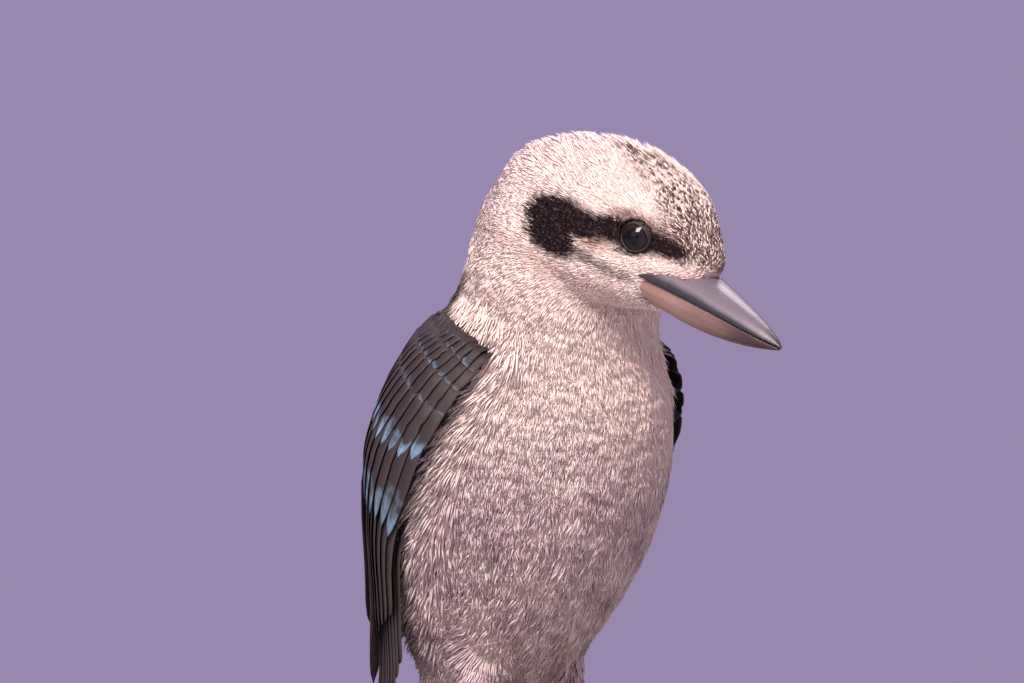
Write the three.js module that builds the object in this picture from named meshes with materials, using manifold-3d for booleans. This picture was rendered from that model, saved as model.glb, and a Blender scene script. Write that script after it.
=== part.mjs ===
// A laughing kookaburra at life size, sitting upright on a short cut branch over a plain display stand.
// Millimetres, +Z up, +X the way the bird faces, +Y to its left. The origin is the middle of the base's
// underside.
import * as THREE from "three";
import { mergeVertices } from "three/addons/utils/BufferGeometryUtils.js";
import Module from "manifold-3d";

const wasm = await Module();
wasm.setup();
const V3 = THREE.Vector3;

// Driving dimensions of the stand and the perch
const GAP = 0.3; // air between pieces that touch
const BASE_RADIUS = 88;
const BASE_THICK = 18;
const BASE_CHAMFER = 2.5;
const ROD_RADIUS = 4;
const ROD_SPREAD = 46; // each rod's distance from the middle of the perch
const PERCH_TOP = 152; // height of the perch's crown above the floor
const PERCH_RADIUS = 19;
const PERCH_HALF_LENGTH = 84;

// Driving dimensions of the bird, from the top of the perch
const BILL_TIP = new V3(146, 0, 141);
const HEAD_PITCH = THREE.MathUtils.degToRad(22.5); // the bill points this far below level
const EYE_BACK = 74.5; // behind the bill's tip, along the head
const EYE_OUT = 12.1; // the eyeball's centre, out from the middle of the head
const EYE_UP = 13.9;
const EYE_RADIUS = 7.8;
const EYE_FORWARD = 0.32; // how far each eye is turned to the front
const LID_RADIUS = 6;
const LID_THICK = 1.0;
const SOCKET_DEPTH = 7.5; // the hollow of the face round each eye
const SOCKET_LENGTH = 12;
const SOCKET_HEIGHT = 9.5;
const NECK_CUT = 150; // the height where the neck is parted from the torso
const NECK_PARTING = 0.35;
const FOOT_SPREAD = 21; // each foot's distance from the middle
const TAIL_LENGTH = 148;
const TAIL_ROOT = new V3(-36, 0, 34);
const TAIL_SLOPE = THREE.MathUtils.degToRad(70); // below level
const TAIL_FEATHERS = 12;
const VANE_THICK = 0.6;
const VANE_GAP = 0.35; // air between the tail's feathers
const WING_PITCH = 1.3; // from one of the wing's feathers to the next that lies over it
const WING_CURVE = 45; // the radius that the folded wing's surface curves to

const MATERIALS = {
  cream: new THREE.MeshStandardMaterial({ color: 0xe6dcd2, roughness: 0.95 }),
  wing: new THREE.MeshStandardMaterial({ color: 0x3b2f2c, roughness: 0.8 }),
  tail: new THREE.MeshStandardMaterial({ color: 0x7a4a30, roughness: 0.8 }),
  billDark: new THREE.MeshStandardMaterial({ color: 0x25222a, roughness: 0.35 }),
  billPale: new THREE.MeshStandardMaterial({ color: 0xb59a86, roughness: 0.45 }),
  eye: new THREE.MeshStandardMaterial({ color: 0x1c120e, roughness: 0.05 }),
  foot: new THREE.MeshStandardMaterial({ color: 0x6f6a5e, roughness: 0.7 }),
  branch: new THREE.MeshStandardMaterial({ color: 0x9a8b80, roughness: 0.9 }),
  plinth: new THREE.MeshStandardMaterial({ color: 0x33241b, roughness: 0.5 }),
  rod: new THREE.MeshStandardMaterial({ color: 0x8c8378, roughness: 0.35, metalness: 1 }),
};

// Makes a closed solid of a geometry whose faces point out
function solidOf(geometry) {
  const bare = geometry.index ? geometry.clone() : geometry;
  bare.deleteAttribute("normal");
  bare.deleteAttribute("uv");
  const merged = mergeVertices(bare, 1e-4);
  return new wasm.Manifold(
    new wasm.Mesh({
      numProp: 3,
      vertProperties: new Float32Array(merged.attributes.position.array),
      triVerts: new Uint32Array(merged.index.array),
    }),
  );
}

// Keeps the largest closed surface, so sealed hollows fill up and loose scraps go
function largest(solid) {
  return solid.decompose().sort((a, b) => b.volume() - a.volume())[0];
}

function unite(solids) {
  return largest(wasm.Manifold.union(solids));
}

function meshOf(name, solid, material) {
  const made = solid.getMesh();
  const geometry = new THREE.BufferGeometry();
  const places = new Float32Array(made.numVert * 3);
  for (let i = 0; i < made.numVert; i++) {
    places.set(made.vertProperties.subarray(i * made.numProp, i * made.numProp + 3), i * 3);
  }
  geometry.setAttribute("position", new THREE.BufferAttribute(places, 3));
  geometry.setIndex(new THREE.BufferAttribute(new Uint32Array(made.triVerts), 1));
  geometry.computeVertexNormals();
  const mesh = new THREE.Mesh(geometry, material);
  mesh.name = name;
  return mesh;
}

// A smooth reading of rows of numbers: each row is [place, value, value, ...], in order of place
function track(rows) {
  return (place) => {
    const last = rows.length - 1;
    let i = rows.findIndex((row) => row[0] > place) - 1;
    if (i < 0) i = place <= rows[0][0] ? 0 : last - 1;
    i = Math.min(i, last - 1);
    const share = THREE.MathUtils.clamp((place - rows[i][0]) / (rows[i + 1][0] - rows[i][0]), 0, 1);
    const before = rows[Math.max(i - 1, 0)];
    const after = rows[Math.min(i + 2, last)];
    return rows[i].slice(1).map((value, k) => {
      const next = rows[i + 1][k + 1];
      const step = rows[i + 1][0] - rows[i][0];
      const slopeIn = ((next - before[k + 1]) / (rows[i + 1][0] - before[0] || 1)) * step;
      const slopeOut = ((after[k + 1] - value) / (after[0] - rows[i][0] || 1)) * step;
      const s2 = share * share;
      const s3 = s2 * share;
      return (
        (2 * s3 - 3 * s2 + 1) * value +
        (s3 - 2 * s2 + share) * slopeIn +
        (3 * s2 - 2 * s3) * next +
        (s3 - s2) * slopeOut
      );
    });
  };
}

// Skins a list of rings of points, each with as many points, and closes both ends to their middles
function loft(rings) {
  const around = rings[0].length;
  const places = rings.flat();
  const faces = [];
  for (let r = 0; r + 1 < rings.length; r++) {
    for (let i = 0; i < around; i++) {
      const a = r * around + i;
      const b = r * around + ((i + 1) % around);
      faces.push(a, b, b + around, a, b + around, a + around);
    }
  }
  for (const [first, flip] of [[0, true], [(rings.length - 1) * around, false]]) {
    const middle = new V3();
    for (let i = 0; i < around; i++) middle.addScaledVector(places[first + i], 1 / around);
    places.push(middle);
    for (let i = 0; i < around; i++) {
      const a = first + i;
      const b = first + ((i + 1) % around);
      if (flip) faces.push(places.length - 1, b, a);
      else faces.push(places.length - 1, a, b);
    }
  }
  const geometry = new THREE.BufferGeometry().setFromPoints(places);
  geometry.setIndex(faces);
  const made = solidOf(geometry);
  if (made.volume() > 0) return made;
  geometry.setIndex(faces.reverse());
  return solidOf(geometry);
}

// One ring of a rounded box: side and up are unit directions, power 2 is an ellipse and more is squarer
function ring(centre, side, up, halfSide, rise, drop, power, around) {
  return Array.from({ length: around }, (_, i) => {
    const angle = (i / around) * 2 * Math.PI;
    const c = Math.cos(angle);
    const s = Math.sin(angle);
    const x = Math.sign(c) * Math.abs(c) ** (2 / power) * halfSide;
    const z = Math.sign(s) * Math.abs(s) ** (2 / power) * (s > 0 ? rise : drop);
    return centre.clone().addScaledVector(side, x).addScaledVector(up, z);
  });
}

// A thin sheet from a grid of points on its outer face, with both faces split into triangles alike
function sheet(outer, inner) {
  const rows = outer.length;
  const columns = outer[0].length;
  const places = [...outer.flat(), ...inner.flat()];
  const under = rows * columns;
  const at = (r, c) => r * columns + c;
  const faces = [];
  for (let r = 0; r + 1 < rows; r++) {
    for (let c = 0; c + 1 < columns; c++) {
      const [a, b, d, e] = [at(r, c), at(r, c + 1), at(r + 1, c), at(r + 1, c + 1)];
      faces.push(a, b, e, a, e, d);
      faces.push(a + under, e + under, b + under, a + under, d + under, e + under);
    }
  }
  const rim = [];
  for (let c = 0; c + 1 < columns; c++) rim.push([at(0, c), at(0, c + 1)]);
  for (let r = 0; r + 1 < rows; r++) rim.push([at(r, columns - 1), at(r + 1, columns - 1)]);
  for (let c = columns - 1; c > 0; c--) rim.push([at(rows - 1, c), at(rows - 1, c - 1)]);
  for (let r = rows - 1; r > 0; r--) rim.push([at(r, 0), at(r - 1, 0)]);
  for (const [a, b] of rim) faces.push(b, a, a + under, b, a + under, b + under);
  const geometry = new THREE.BufferGeometry().setFromPoints(places);
  geometry.setIndex(faces);
  const made = solidOf(geometry);
  if (made.volume() > 0) return made;
  geometry.setIndex(faces.reverse());
  return solidOf(geometry);
}

const VANE_ROOT_WIDTH = 0.55; // a feather's width at its root, as a share of its full width
const VANE_WIDENING = 1.5; // how fast it widens along its length
const VANE_ROUNDING = 0.35; // how far the corners of its tip are set back
const VANE_STEP = 0.03;

// One feather: centre(share) gives its line, outward(share) the way it faces, and tilt(share) lifts the
// edge that lies over its neighbour. It is narrow at the root and rounded at the tip.
function vane({ centre, outward, tilt, halfWidth, rows = [0, 0.4, 0.82, 1], tipWidth = 0.5, camber = 0.08 }) {
  const outer = [];
  const inner = [];
  for (const share of rows) {
    const here = centre(share);
    const next = centre(Math.min(share + VANE_STEP, 1));
    const ahead = next.sub(centre(Math.max(share - VANE_STEP, 0))).normalize();
    const out = outward(share).clone().addScaledVector(ahead, -outward(share).dot(ahead)).normalize();
    const across = new V3().crossVectors(out, ahead).applyAxisAngle(ahead, tilt(share));
    const face = new V3().crossVectors(ahead, across);
    const widened = Math.min(1, VANE_ROOT_WIDTH + VANE_WIDENING * share);
    const half = halfWidth * widened * (share === 1 ? tipWidth : 1);
    const setBack = share === 1 ? VANE_ROUNDING * halfWidth : 0;
    const row = [-1, 0, 1].map((k) =>
      here.clone()
        .addScaledVector(across, k * half)
        .addScaledVector(face, (1 - k * k) * half * camber)
        .addScaledVector(ahead, -Math.abs(k) * setBack),
    );
    outer.push(row);
    inner.push(row.map((point) => point.clone().addScaledVector(face, -VANE_THICK)));
  }
  return sheet(outer, inner);
}

// Places in the head's own frame: back from the bill's tip, out to the left, and up from the mouth's line
const headForward = new V3(Math.cos(HEAD_PITCH), 0, -Math.sin(HEAD_PITCH));
const headLeft = new V3(0, 1, 0);
const headUp = new V3().crossVectors(headForward, headLeft);

function headPoint(back, left, up) {
  return BILL_TIP.clone()
    .addScaledVector(headForward, -back)
    .addScaledVector(headLeft, left)
    .addScaledVector(headUp, up);
}

// The torso by height: centre, half depth, half width
const torsoTrack = track([
  [-7, -36, 5, 6],
  [3, -30, 13, 14],
  [15, -21.5, 23.5, 22.5],
  [28, -14.5, 32.5, 30],
  [43, -10, 41.5, 38],
  [57, -7, 48, 44.5],
  [73, -3, 52.5, 49.5],
  [92, 2, 54, 52],
  [105, 4.5, 53.5, 52],
  [120, 7.5, 51, 49.3],
  [142, 13, 42, 41.5],
  [155, 18.5, 39.5, 38.5],
  [171, 25, 37.5, 36.8],
  [184, 29, 37.5, 37],
  [196, 33, 35, 35],
  [205, 38, 32, 31.5],
  [212, 42, 19, 19],
]);
const TORSO_LOW = -7;
const TORSO_HIGH = 212;
const TORSO_ROWS = 21;
const TORSO_AROUND = 24;
const TORSO_SQUARE = 2.1;
const forward = new V3(1, 0, 0);
const leftward = new V3(0, 1, 0);

function trunkOfBody(grow = 0) {
  const rings = [];
  for (let i = 0; i < TORSO_ROWS; i++) {
    const height = TORSO_LOW - grow + ((TORSO_HIGH - TORSO_LOW + 2 * grow) * i) / (TORSO_ROWS - 1);
    const [x, depth, width] = torsoTrack(THREE.MathUtils.clamp(height, TORSO_LOW, TORSO_HIGH));
    const centre = new V3(x, 0, height);
    const half = width + grow;
    rings.push(ring(centre, forward, leftward, depth + grow, half, half, TORSO_SQUARE, TORSO_AROUND));
  }
  return loft(rings);
}

// The head by distance behind the bill's tip: middle height, rise, drop, half width, how square its crown
// and its lower half are, and the share of the width that its lower half keeps, which is less beside the bill
const headTrack = track([
  [44, 14, 1.5, 1.5, 2, 1.9, 2, 1],
  [47, 12.5, 6.3, 6.5, 7, 1.9, 2, 0.9],
  [53, 10.5, 13.2, 13, 11.5, 1.95, 2.1, 0.78],
  [61, 9.5, 20.4, 19, 17, 2, 2.2, 0.72],
  [71, 9, 25.4, 23.5, 23.5, 2.05, 2.3, 0.78],
  [84, 9, 27.4, 28, 29.5, 2.1, 2.4, 0.96],
  [101, 9, 27, 31, 34, 2.2, 2.5, 1],
  [115, 9.5, 25, 31, 35.5, 2.3, 2.6, 1],
  [124, 10, 22.8, 28, 35.2, 2.35, 2.7, 1],
  [132, 9.5, 21.2, 25, 33.3, 2.3, 2.7, 1],
  [140, 8, 18.4, 22, 29, 2.2, 2.5, 1],
  [147, 6, 12, 16, 21, 2.15, 2.3, 1],
  [152, 4, 5, 7, 9, 2.1, 2.1, 1],
]);
const HEAD_FRONT = 44;
const HEAD_BACK = 152;
const HEAD_ROWS = 20;
const HEAD_AROUND = 32;
const HEAD_CROWDING = 0.6; // how far the rings crowd to both ends of the head

// How deep the hollow round the eye is at a place of the head's side
function socketDepth(back, up) {
  const along = (back - EYE_BACK + 2) / SOCKET_LENGTH;
  const over = (up - EYE_UP) / SOCKET_HEIGHT;
  return SOCKET_DEPTH * Math.exp(-(along ** 2) - over ** 2);
}

function headBlob(grow = 0) {
  const rings = [];
  for (let i = 0; i < HEAD_ROWS; i++) {
    const share = i / (HEAD_ROWS - 1);
    const crowded = THREE.MathUtils.lerp(share, 0.5 - 0.5 * Math.cos(share * Math.PI), HEAD_CROWDING);
    const back = THREE.MathUtils.lerp(HEAD_FRONT - grow, HEAD_BACK + grow, crowded);
    const at = THREE.MathUtils.clamp(back, HEAD_FRONT, HEAD_BACK);
    const [middle, rise, drop, width, crownPower, lowPower, jaw] = headTrack(at);
    rings.push(
      Array.from({ length: HEAD_AROUND }, (_, k) => {
        const angle = (k / HEAD_AROUND) * 2 * Math.PI;
        const c = Math.cos(angle);
        const s = Math.sin(angle);
        const power = s > 0 ? crownPower : lowPower;
        const narrow = THREE.MathUtils.lerp(1, jaw, THREE.MathUtils.smoothstep(-s, 0, 0.5));
        const reach = Math.abs(c) ** (2 / power) * (width * narrow + grow);
        const height = Math.abs(s) ** (2 / power) * Math.sign(s) * ((s > 0 ? rise : drop) + grow);
        const up = middle + height;
        return headPoint(back, Math.sign(c) * (reach - socketDepth(back, up) * Math.abs(c)), up);
      }),
    );
  }
  return loft(rings);
}

// The bill by distance behind its tip: ridge height, mouth line, keel depth, half width
const billTrack = track([
  [0, 0.5, -0.2, -0.8, 0.5],
  [3, 2.1, -0.1, -1.8, 1.8],
  [8, 3.8, 0, -3.5, 3.6],
  [16, 5.6, 0.3, -5.9, 5.9],
  [26, 7.2, 0.7, -8.1, 8.2],
  [36, 8.5, 1, -9.7, 10.3],
  [46, 9.6, 1.1, -10.6, 12.3],
  [60, 11, 1, -10.8, 15.2],
  [76, 11.5, 0.8, -9.8, 19],
]);
const BILL_LENGTH = 76;
const BILL_ROWS = 10;
const BILL_AROUND = 11;
const LOWER_BILL_SHORT = 1.2; // the lower half ends this far behind the upper half's tip
const LOWER_BILL_NARROW = 0.9;
const RIDGE_SHARPNESS = 1.15; // the upper half rises to a narrow ridge
const KEEL_ROUNDNESS = 0.9; // and the lower half is rounder below

// Half of the bill: sign 1 is the upper, -1 the lower
function mandible(sign) {
  const rings = [];
  for (let i = 0; i < BILL_ROWS; i++) {
    const share = i / (BILL_ROWS - 1);
    const back = BILL_LENGTH * share ** 1.35 + (sign < 0 ? LOWER_BILL_SHORT * (1 - share) : 0);
    const [ridge, mouth, keel, width] = billTrack(back);
    const reach = sign > 0 ? ridge - mouth : mouth - keel;
    const points = [];
    for (let k = 0; k < BILL_AROUND; k++) {
      const angle = Math.PI * (k / (BILL_AROUND - 1));
      const side = Math.cos(angle) * width * (sign > 0 ? 1 : LOWER_BILL_NARROW);
      const height = Math.sin(angle) ** (sign > 0 ? RIDGE_SHARPNESS : KEEL_ROUNDNESS) * (reach - GAP / 2);
      points.push(headPoint(back, side, mouth + sign * (GAP / 2 + height)));
    }
    rings.push(points);
  }
  return loft(rings);
}

function sphere(centre, radius, across, along) {
  const geometry = new THREE.SphereGeometry(radius, across, along);
  geometry.translate(centre.x, centre.y, centre.z);
  return solidOf(geometry);
}

function eyeCentre(side) {
  return headPoint(EYE_BACK, side * EYE_OUT, EYE_UP);
}

// The lids are a ring of skin that stands round the open eye
function lids(side) {
  const geometry = new THREE.TorusGeometry(LID_RADIUS, LID_THICK, 6, 16);
  const facing = headLeft.clone().multiplyScalar(side).addScaledVector(headForward, EYE_FORWARD).normalize();
  const turn = new THREE.Quaternion().setFromUnitVectors(new V3(0, 0, 1), facing);
  geometry.applyQuaternion(turn);
  const out = Math.sqrt(EYE_RADIUS ** 2 - LID_RADIUS ** 2);
  const centre = eyeCentre(side).addScaledVector(facing, out);
  geometry.translate(centre.x, centre.y, centre.z);
  return solidOf(geometry);
}

// The line of the mouth runs back from the bill's root into the cheek, under the eye
const MOUTH_BACKS = [50, 58, 66, 72, 76];
const MOUTH_INSIDE = 9;
const MOUTH_OUTSIDE = 36;
const MOUTH_OPEN = 1;

function mouthSlit(side) {
  const outer = [];
  const inner = [];
  for (const back of MOUTH_BACKS) {
    const up = billTrack(back)[1] + MOUTH_OPEN / 2;
    const row = [MOUTH_INSIDE, MOUTH_OUTSIDE].map((out) => headPoint(back, side * out, up));
    outer.push(row);
    inner.push(row.map((point) => point.clone().addScaledVector(headUp, -MOUTH_OPEN)));
  }
  return sheet(outer, inner);
}

const NOSTRIL_PLACE = { back: 50.5, out: 8.8, up: 7.3 };
const NOSTRIL_SIZE = { length: 3.4, depth: 1.4, height: 1.1 };

function nostril(side) {
  const geometry = new THREE.SphereGeometry(1, 8, 5);
  geometry.scale(NOSTRIL_SIZE.length, NOSTRIL_SIZE.depth, NOSTRIL_SIZE.height);
  const facing = new THREE.Matrix4().makeBasis(headForward, headLeft, headUp);
  geometry.applyMatrix4(facing);
  const centre = headPoint(NOSTRIL_PLACE.back, side * NOSTRIL_PLACE.out, NOSTRIL_PLACE.up);
  geometry.translate(centre.x, centre.y, centre.z);
  return solidOf(geometry);
}

const perchCentre = new V3(0, 0, -PERCH_RADIUS);
const PERCH_RINGS = 13;
const PERCH_AROUND = 18;
const PERCH_BEND = 0.00035; // how far the perch bends forward, for each square millimetre from its middle
const KNOT = { radius: 6.5, rootRadius: 10, length: 22, place: new V3(14, 60, -32) };

// The perch's radius wanders a little along it and round it, as weathered wood does
function perchRadius(along, angle) {
  const swell = 0.9 * Math.sin(along * 0.045 + 1) + 0.5 * Math.sin(along * 0.11);
  const lumps = 0.45 * Math.sin(3 * angle + along * 0.05) + 0.35 * Math.sin(5 * angle - along * 0.03);
  return PERCH_RADIUS + swell * Math.min(1, Math.abs(along) / 40) + lumps;
}

function branch(grow = 0) {
  const rings = [];
  for (let i = 0; i < PERCH_RINGS; i++) {
    const along = THREE.MathUtils.lerp(-PERCH_HALF_LENGTH, PERCH_HALF_LENGTH, i / (PERCH_RINGS - 1));
    const centre = new V3(perchCentre.x + PERCH_BEND * along ** 2, along, perchCentre.z);
    rings.push(
      Array.from({ length: PERCH_AROUND }, (_, k) => {
        const angle = (k / PERCH_AROUND) * 2 * Math.PI;
        const radius = perchRadius(along, angle) + grow;
        return centre.clone().add(new V3(Math.cos(angle) * radius, 0, Math.sin(angle) * radius));
      }),
    );
  }
  const knot = new THREE.CylinderGeometry(KNOT.radius + grow, KNOT.rootRadius + grow, KNOT.length, 12);
  knot.rotateX(THREE.MathUtils.degToRad(-90));
  knot.rotateY(THREE.MathUtils.degToRad(-20));
  knot.rotateX(THREE.MathUtils.degToRad(60));
  knot.translate(...KNOT.place);
  return unite([loft(rings), solidOf(knot)]);
}

// A tube of a few sides along a list of points, with its radius at each
function limb(points, radii, around = 8, rows = 8) {
  const line = new THREE.CatmullRomCurve3(points, false, "centripetal");
  const radiusAt = track(radii.map((radius, i) => [i / (radii.length - 1), radius]));
  const rings = [];
  for (let i = 0; i < rows; i++) {
    const share = i / (rows - 1);
    const along = line.getTangentAt(share);
    const side = new V3().crossVectors(along, new V3(0, 1, 0));
    if (side.length() < 0.3) side.crossVectors(along, new V3(1, 0, 0));
    side.normalize();
    const up = new V3().crossVectors(side, along).normalize();
    const [radius] = radiusAt(share);
    rings.push(ring(line.getPointAt(share), side, up, radius, radius, radius, 2, around));
  }
  return loft(rings);
}

// Inner, middle, outer and hind toe: how far each fans sideways at root and tip, from and to which angle
// round the perch it reaches, in degrees, and its thickness
const TOES = [
  { root: -3.5, tip: -9.5, from: 84, to: 30, radius: 2.5 },
  { root: 0.5, tip: -1, from: 88, to: 4, radius: 2.9 },
  { root: 3.6, tip: 6.2, from: 84, to: 14, radius: 2.6 },
  { root: -1.5, tip: -4.5, from: 92, to: 148, radius: 2.8 },
];
const KNUCKLES = [1.2, 0.23, -0.29, 0.13, 0.12]; // how far a toe stands off the perch at each joint
const TOE_TAPER = [1.1, 1, 1.02, 0.92, 0.7]; // its thickness there, as a share of its own
const CLAW_TURN = 22; // degrees round the perch that a claw covers
// A claw's line: share of its turn, and height over the toe's middle
const CLAW_ARC = [[-0.2, 0.6], [0.35, 2.2], [0.75, 1.3], [1, -1.2]];
const CLAW_TAPER = [1.9, 1.7, 1.1, 0.35];

function aroundPerch(angleDegrees, height, sideways) {
  const angle = THREE.MathUtils.degToRad(angleDegrees);
  const radius = PERCH_RADIUS + height;
  return new V3(
    perchCentre.x + Math.cos(angle) * radius,
    sideways,
    perchCentre.z + Math.sin(angle) * radius,
  );
}

function toe(spec, side) {
  const reach = spec.to - spec.from;
  const points = KNUCKLES.map((knuckle, i) => {
    const share = i / (KNUCKLES.length - 1);
    const sideways = side * (FOOT_SPREAD + THREE.MathUtils.lerp(spec.root, spec.tip, share));
    return aroundPerch(spec.from + reach * share, spec.radius + knuckle, sideways);
  });
  const flesh = limb(points, TOE_TAPER.map((share) => share * spec.radius), 7, 6);
  const turn = Math.sign(reach) * CLAW_TURN;
  const clawPoints = CLAW_ARC.map(([share, height]) =>
    aroundPerch(spec.to + turn * share, spec.radius + height, side * (FOOT_SPREAD + spec.tip)),
  );
  return [flesh, limb(clawPoints, CLAW_TAPER, 5, 4)];
}

const ANKLE = new V3(-4, FOOT_SPREAD - 1, 17);

function foot(side, perchGrown, bodyGrown) {
  const pieces = [shank(side), ...TOES.flatMap((spec) => toe(spec, side))];
  return largest(unite(pieces).subtract(perchGrown).subtract(bodyGrown));
}

const SHANK_LINE = [ANKLE, new V3(-2, FOOT_SPREAD - 0.5, 10), new V3(1, FOOT_SPREAD, 3.4)];
const SHANK_RADII = [3.4, 3, 3.8];
const THIGH_LINE = [new V3(-8, 15, 42), new V3(-4, 19, 26), new V3(-1.5, 20.4, 7.5)];
const THIGH_RADII = [11, 12, 4.9];
const SHANK_CLEAR = GAP + 0.3;

// The same line on the left or right side of the bird
function onSide(line, side) {
  return line.map((point) => new V3(point.x, side * point.y, point.z));
}

function shank(side, grow = 0) {
  return limb(onSide(SHANK_LINE, side), SHANK_RADII.map((radius) => radius + grow), 8, 5);
}

// The feathered leg comes down out of the belly and ends round the shank
function featheredLeg(side, bodyGrown) {
  const feathers = limb(onSide(THIGH_LINE, side), THIGH_RADII, 14, 7);
  return largest(feathers.subtract(bodyGrown).subtract(shank(side, SHANK_CLEAR)));
}

// The folded wing is a sheet over the side of the body. Along it go three guide lines, on the right side:
// the front edge, the fullest line and the back edge, each [share, forward, out, up].
const wingFront = track([
  [0, 30, 40, 140],
  [0.14, 22, 49.5, 121],
  [0.3, 10, 54.5, 97],
  [0.45, -7, 51, 69],
  [0.6, -17, 43, 41],
  [0.75, -29, 33.5, 13],
  [0.88, -49, 27, -14],
  [1, -64, 22, -37],
]);
const wingFull = track([
  [0, 18, 40, 148],
  [0.14, -1, 46.5, 133],
  [0.3, -22, 47.5, 108],
  [0.45, -33, 41.5, 81],
  [0.6, -40.5, 33.5, 52],
  [0.75, -49, 26, 22],
  [0.88, -60, 21.5, -8],
  [1, -68, 19, -36],
]);
const wingBack = track([
  [0, -4, 33, 152],
  [0.14, -25, 25, 141],
  [0.3, -42, 18, 120],
  [0.45, -53, 14, 94],
  [0.6, -59, 11.5, 64],
  [0.75, -65, 11, 30],
  [0.88, -70, 12, -4],
  [1, -73, 15, -35],
]);

// A point of the wing's outer sheet: share along it, across from the front edge 0 to the back edge 1
function wingPoint(side, share, across) {
  const [a, b, c] = [wingFront(share), wingFull(share), wingBack(share)];
  const blend = [0, 1, 2].map((k) => {
    const control = 2 * b[k] - (a[k] + c[k]) / 2;
    return (1 - across) ** 2 * a[k] + 2 * across * (1 - across) * control + across ** 2 * c[k];
  });
  return new V3(blend[0], side * blend[1], blend[2]);
}

function wingOutward(side, share, across) {
  const low = Math.max(share - 0.02, 0);
  const along = wingPoint(side, Math.min(low + 0.04, 1), across).sub(wingPoint(side, low, across));
  const left = Math.max(across - 0.05, 0);
  const over = wingPoint(side, share, Math.min(left + 0.1, 1)).sub(wingPoint(side, share, left));
  return new V3().crossVectors(along, over).multiplyScalar(side).normalize();
}

// Primaries, secondaries, tertials and coverts. Each tier of feathers runs from the wing's front edge to its
// back. Its roots and tips each go between two places, [share along, share across], and it stands off the
// wing by its lift.
const WING_TIERS = [
  { count: 7, root: [[0.36, 0.06], [0.4, 0.6]], tip: [[0.7, 0.08], [1, 0.6]], half: [5.5, 6], lift: 0.6 },
  { count: 7, root: [[0.28, 0.08], [0.26, 0.8]], tip: [[0.6, 0.1], [0.8, 0.84]], half: [7, 7.5], lift: 3.2 },
  { count: 3, root: [[0.24, 0.66], [0.2, 0.94]], tip: [[0.69, 0.8], [0.6, 0.97]], half: [8, 8], lift: 5.2 },
  { count: 7, root: [[0.17, 0.08], [0.15, 0.92]], tip: [[0.42, 0.06], [0.4, 0.95]], half: [8, 7], lift: 6 },
];
const ROOT_SUNK = 2.5; // how deep a feather's root lies in the wing
const MOST_TILT = 0.6;

function wingFeathers(side) {
  return WING_TIERS.flatMap((tier) => {
    const between = (ends, order, k) => THREE.MathUtils.lerp(ends[0][k], ends[1][k], order);
    const placeAt = (order, share) => [0, 1].map((k) =>
      THREE.MathUtils.lerp(between(tier.root, order, k), between(tier.tip, order, k), share),
    );
    const lineAt = (order, share) => {
      const place = placeAt(order, share);
      const risen = THREE.MathUtils.smoothstep(share, -0.05, 0.35);
      const rise = THREE.MathUtils.lerp(-ROOT_SUNK, tier.lift, risen);
      return wingPoint(side, ...place).addScaledVector(wingOutward(side, ...place), rise);
    };
    const step = 1 / (tier.count - 1);
    return Array.from({ length: tier.count }, (_, i) => {
      const order = i * step;
      const neighbour = i + 1 < tier.count ? order + step : order - step;
      const halfWidth = THREE.MathUtils.lerp(...tier.half, order);
      return vane({
        centre: (share) => lineAt(order, share),
        outward: (share) => wingOutward(side, ...placeAt(order, share)),
        tilt: (share) => {
          const apart = lineAt(order, share).distanceTo(lineAt(neighbour, share));
          const bend = Math.max(0, halfWidth - apart / 2) / WING_CURVE;
          return -side * Math.min(MOST_TILT, Math.atan(WING_PITCH / apart) + bend);
        },
        halfWidth,
      });
    });
  });
}

const WING_CORE_ROWS = 8;
const WING_CORE_COLUMNS = 6;
const WING_CORE_END = 0.5;
const WING_CORE_DEPTH = 24;
const WING_CORE_EDGE = 5;
const WING_CORE_SWELL = 3.6; // how far its middle stands out of the guide surface
const WING_CORE_DROP = 1.6; // how far its lower end lies back under the feathers

// How far the wing's core stands out of the guide surface, fullest in the middle and low at the edges
function coreRise(along, across) {
  const lengthwise = Math.sin(Math.PI * Math.min(1, along * 1.1 + 0.12));
  const crosswise = 1 - (2 * across - 1) ** 4;
  return 0.5 + WING_CORE_SWELL * lengthwise * crosswise - WING_CORE_DROP * along;
}

// The wing's own flesh and bone, a thick sheet from the feathers in to the body
function wingCore(side) {
  const outer = [];
  const inner = [];
  for (let r = 0; r < WING_CORE_ROWS; r++) {
    const along = r / (WING_CORE_ROWS - 1);
    const depth = THREE.MathUtils.lerp(WING_CORE_DEPTH, WING_CORE_EDGE, along ** 0.7);
    outer.push([]);
    inner.push([]);
    for (let c = 0; c < WING_CORE_COLUMNS; c++) {
      const place = [along * WING_CORE_END, c / (WING_CORE_COLUMNS - 1)];
      const outward = wingOutward(side, ...place);
      const point = wingPoint(side, ...place).addScaledVector(outward, coreRise(along, place[1]));
      outer[r].push(point);
      inner[r].push(point.clone().addScaledVector(outward, -depth));
    }
  }
  return sheet(outer, inner);
}

function wing(side, bodyGrown) {
  return largest(unite([wingCore(side), ...wingFeathers(side)]).subtract(bodyGrown));
}

const tailAlong = new V3(-Math.cos(TAIL_SLOPE), 0, -Math.sin(TAIL_SLOPE));
const tailBack = new V3(-Math.sin(TAIL_SLOPE), 0, Math.cos(TAIL_SLOPE));
const TAIL_CROSSING = 3; // pairs near the middle that overlap their opposite number
const TAIL_BARE = 27; // the feathers start this far along, inside the tail's own flesh
const TAIL_TOP = 3.4; // how far the top feather lies above the tail's middle sheet
const TAIL_SWAY = 2.5;
const TAIL_HALF_WIDTH = 9.6;
const TAIL_FAN = { root: [1, 1.1], tip: [2.2, 2.75] }; // left of the middle: the first pair, and each more
const TAIL_SHORTENING = 0.006; // for each pair outward, squared
const TAIL_STEM = { places: [-12, 10, 32, 56], radii: [13, 13, 10.5, 2.5] };

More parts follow.
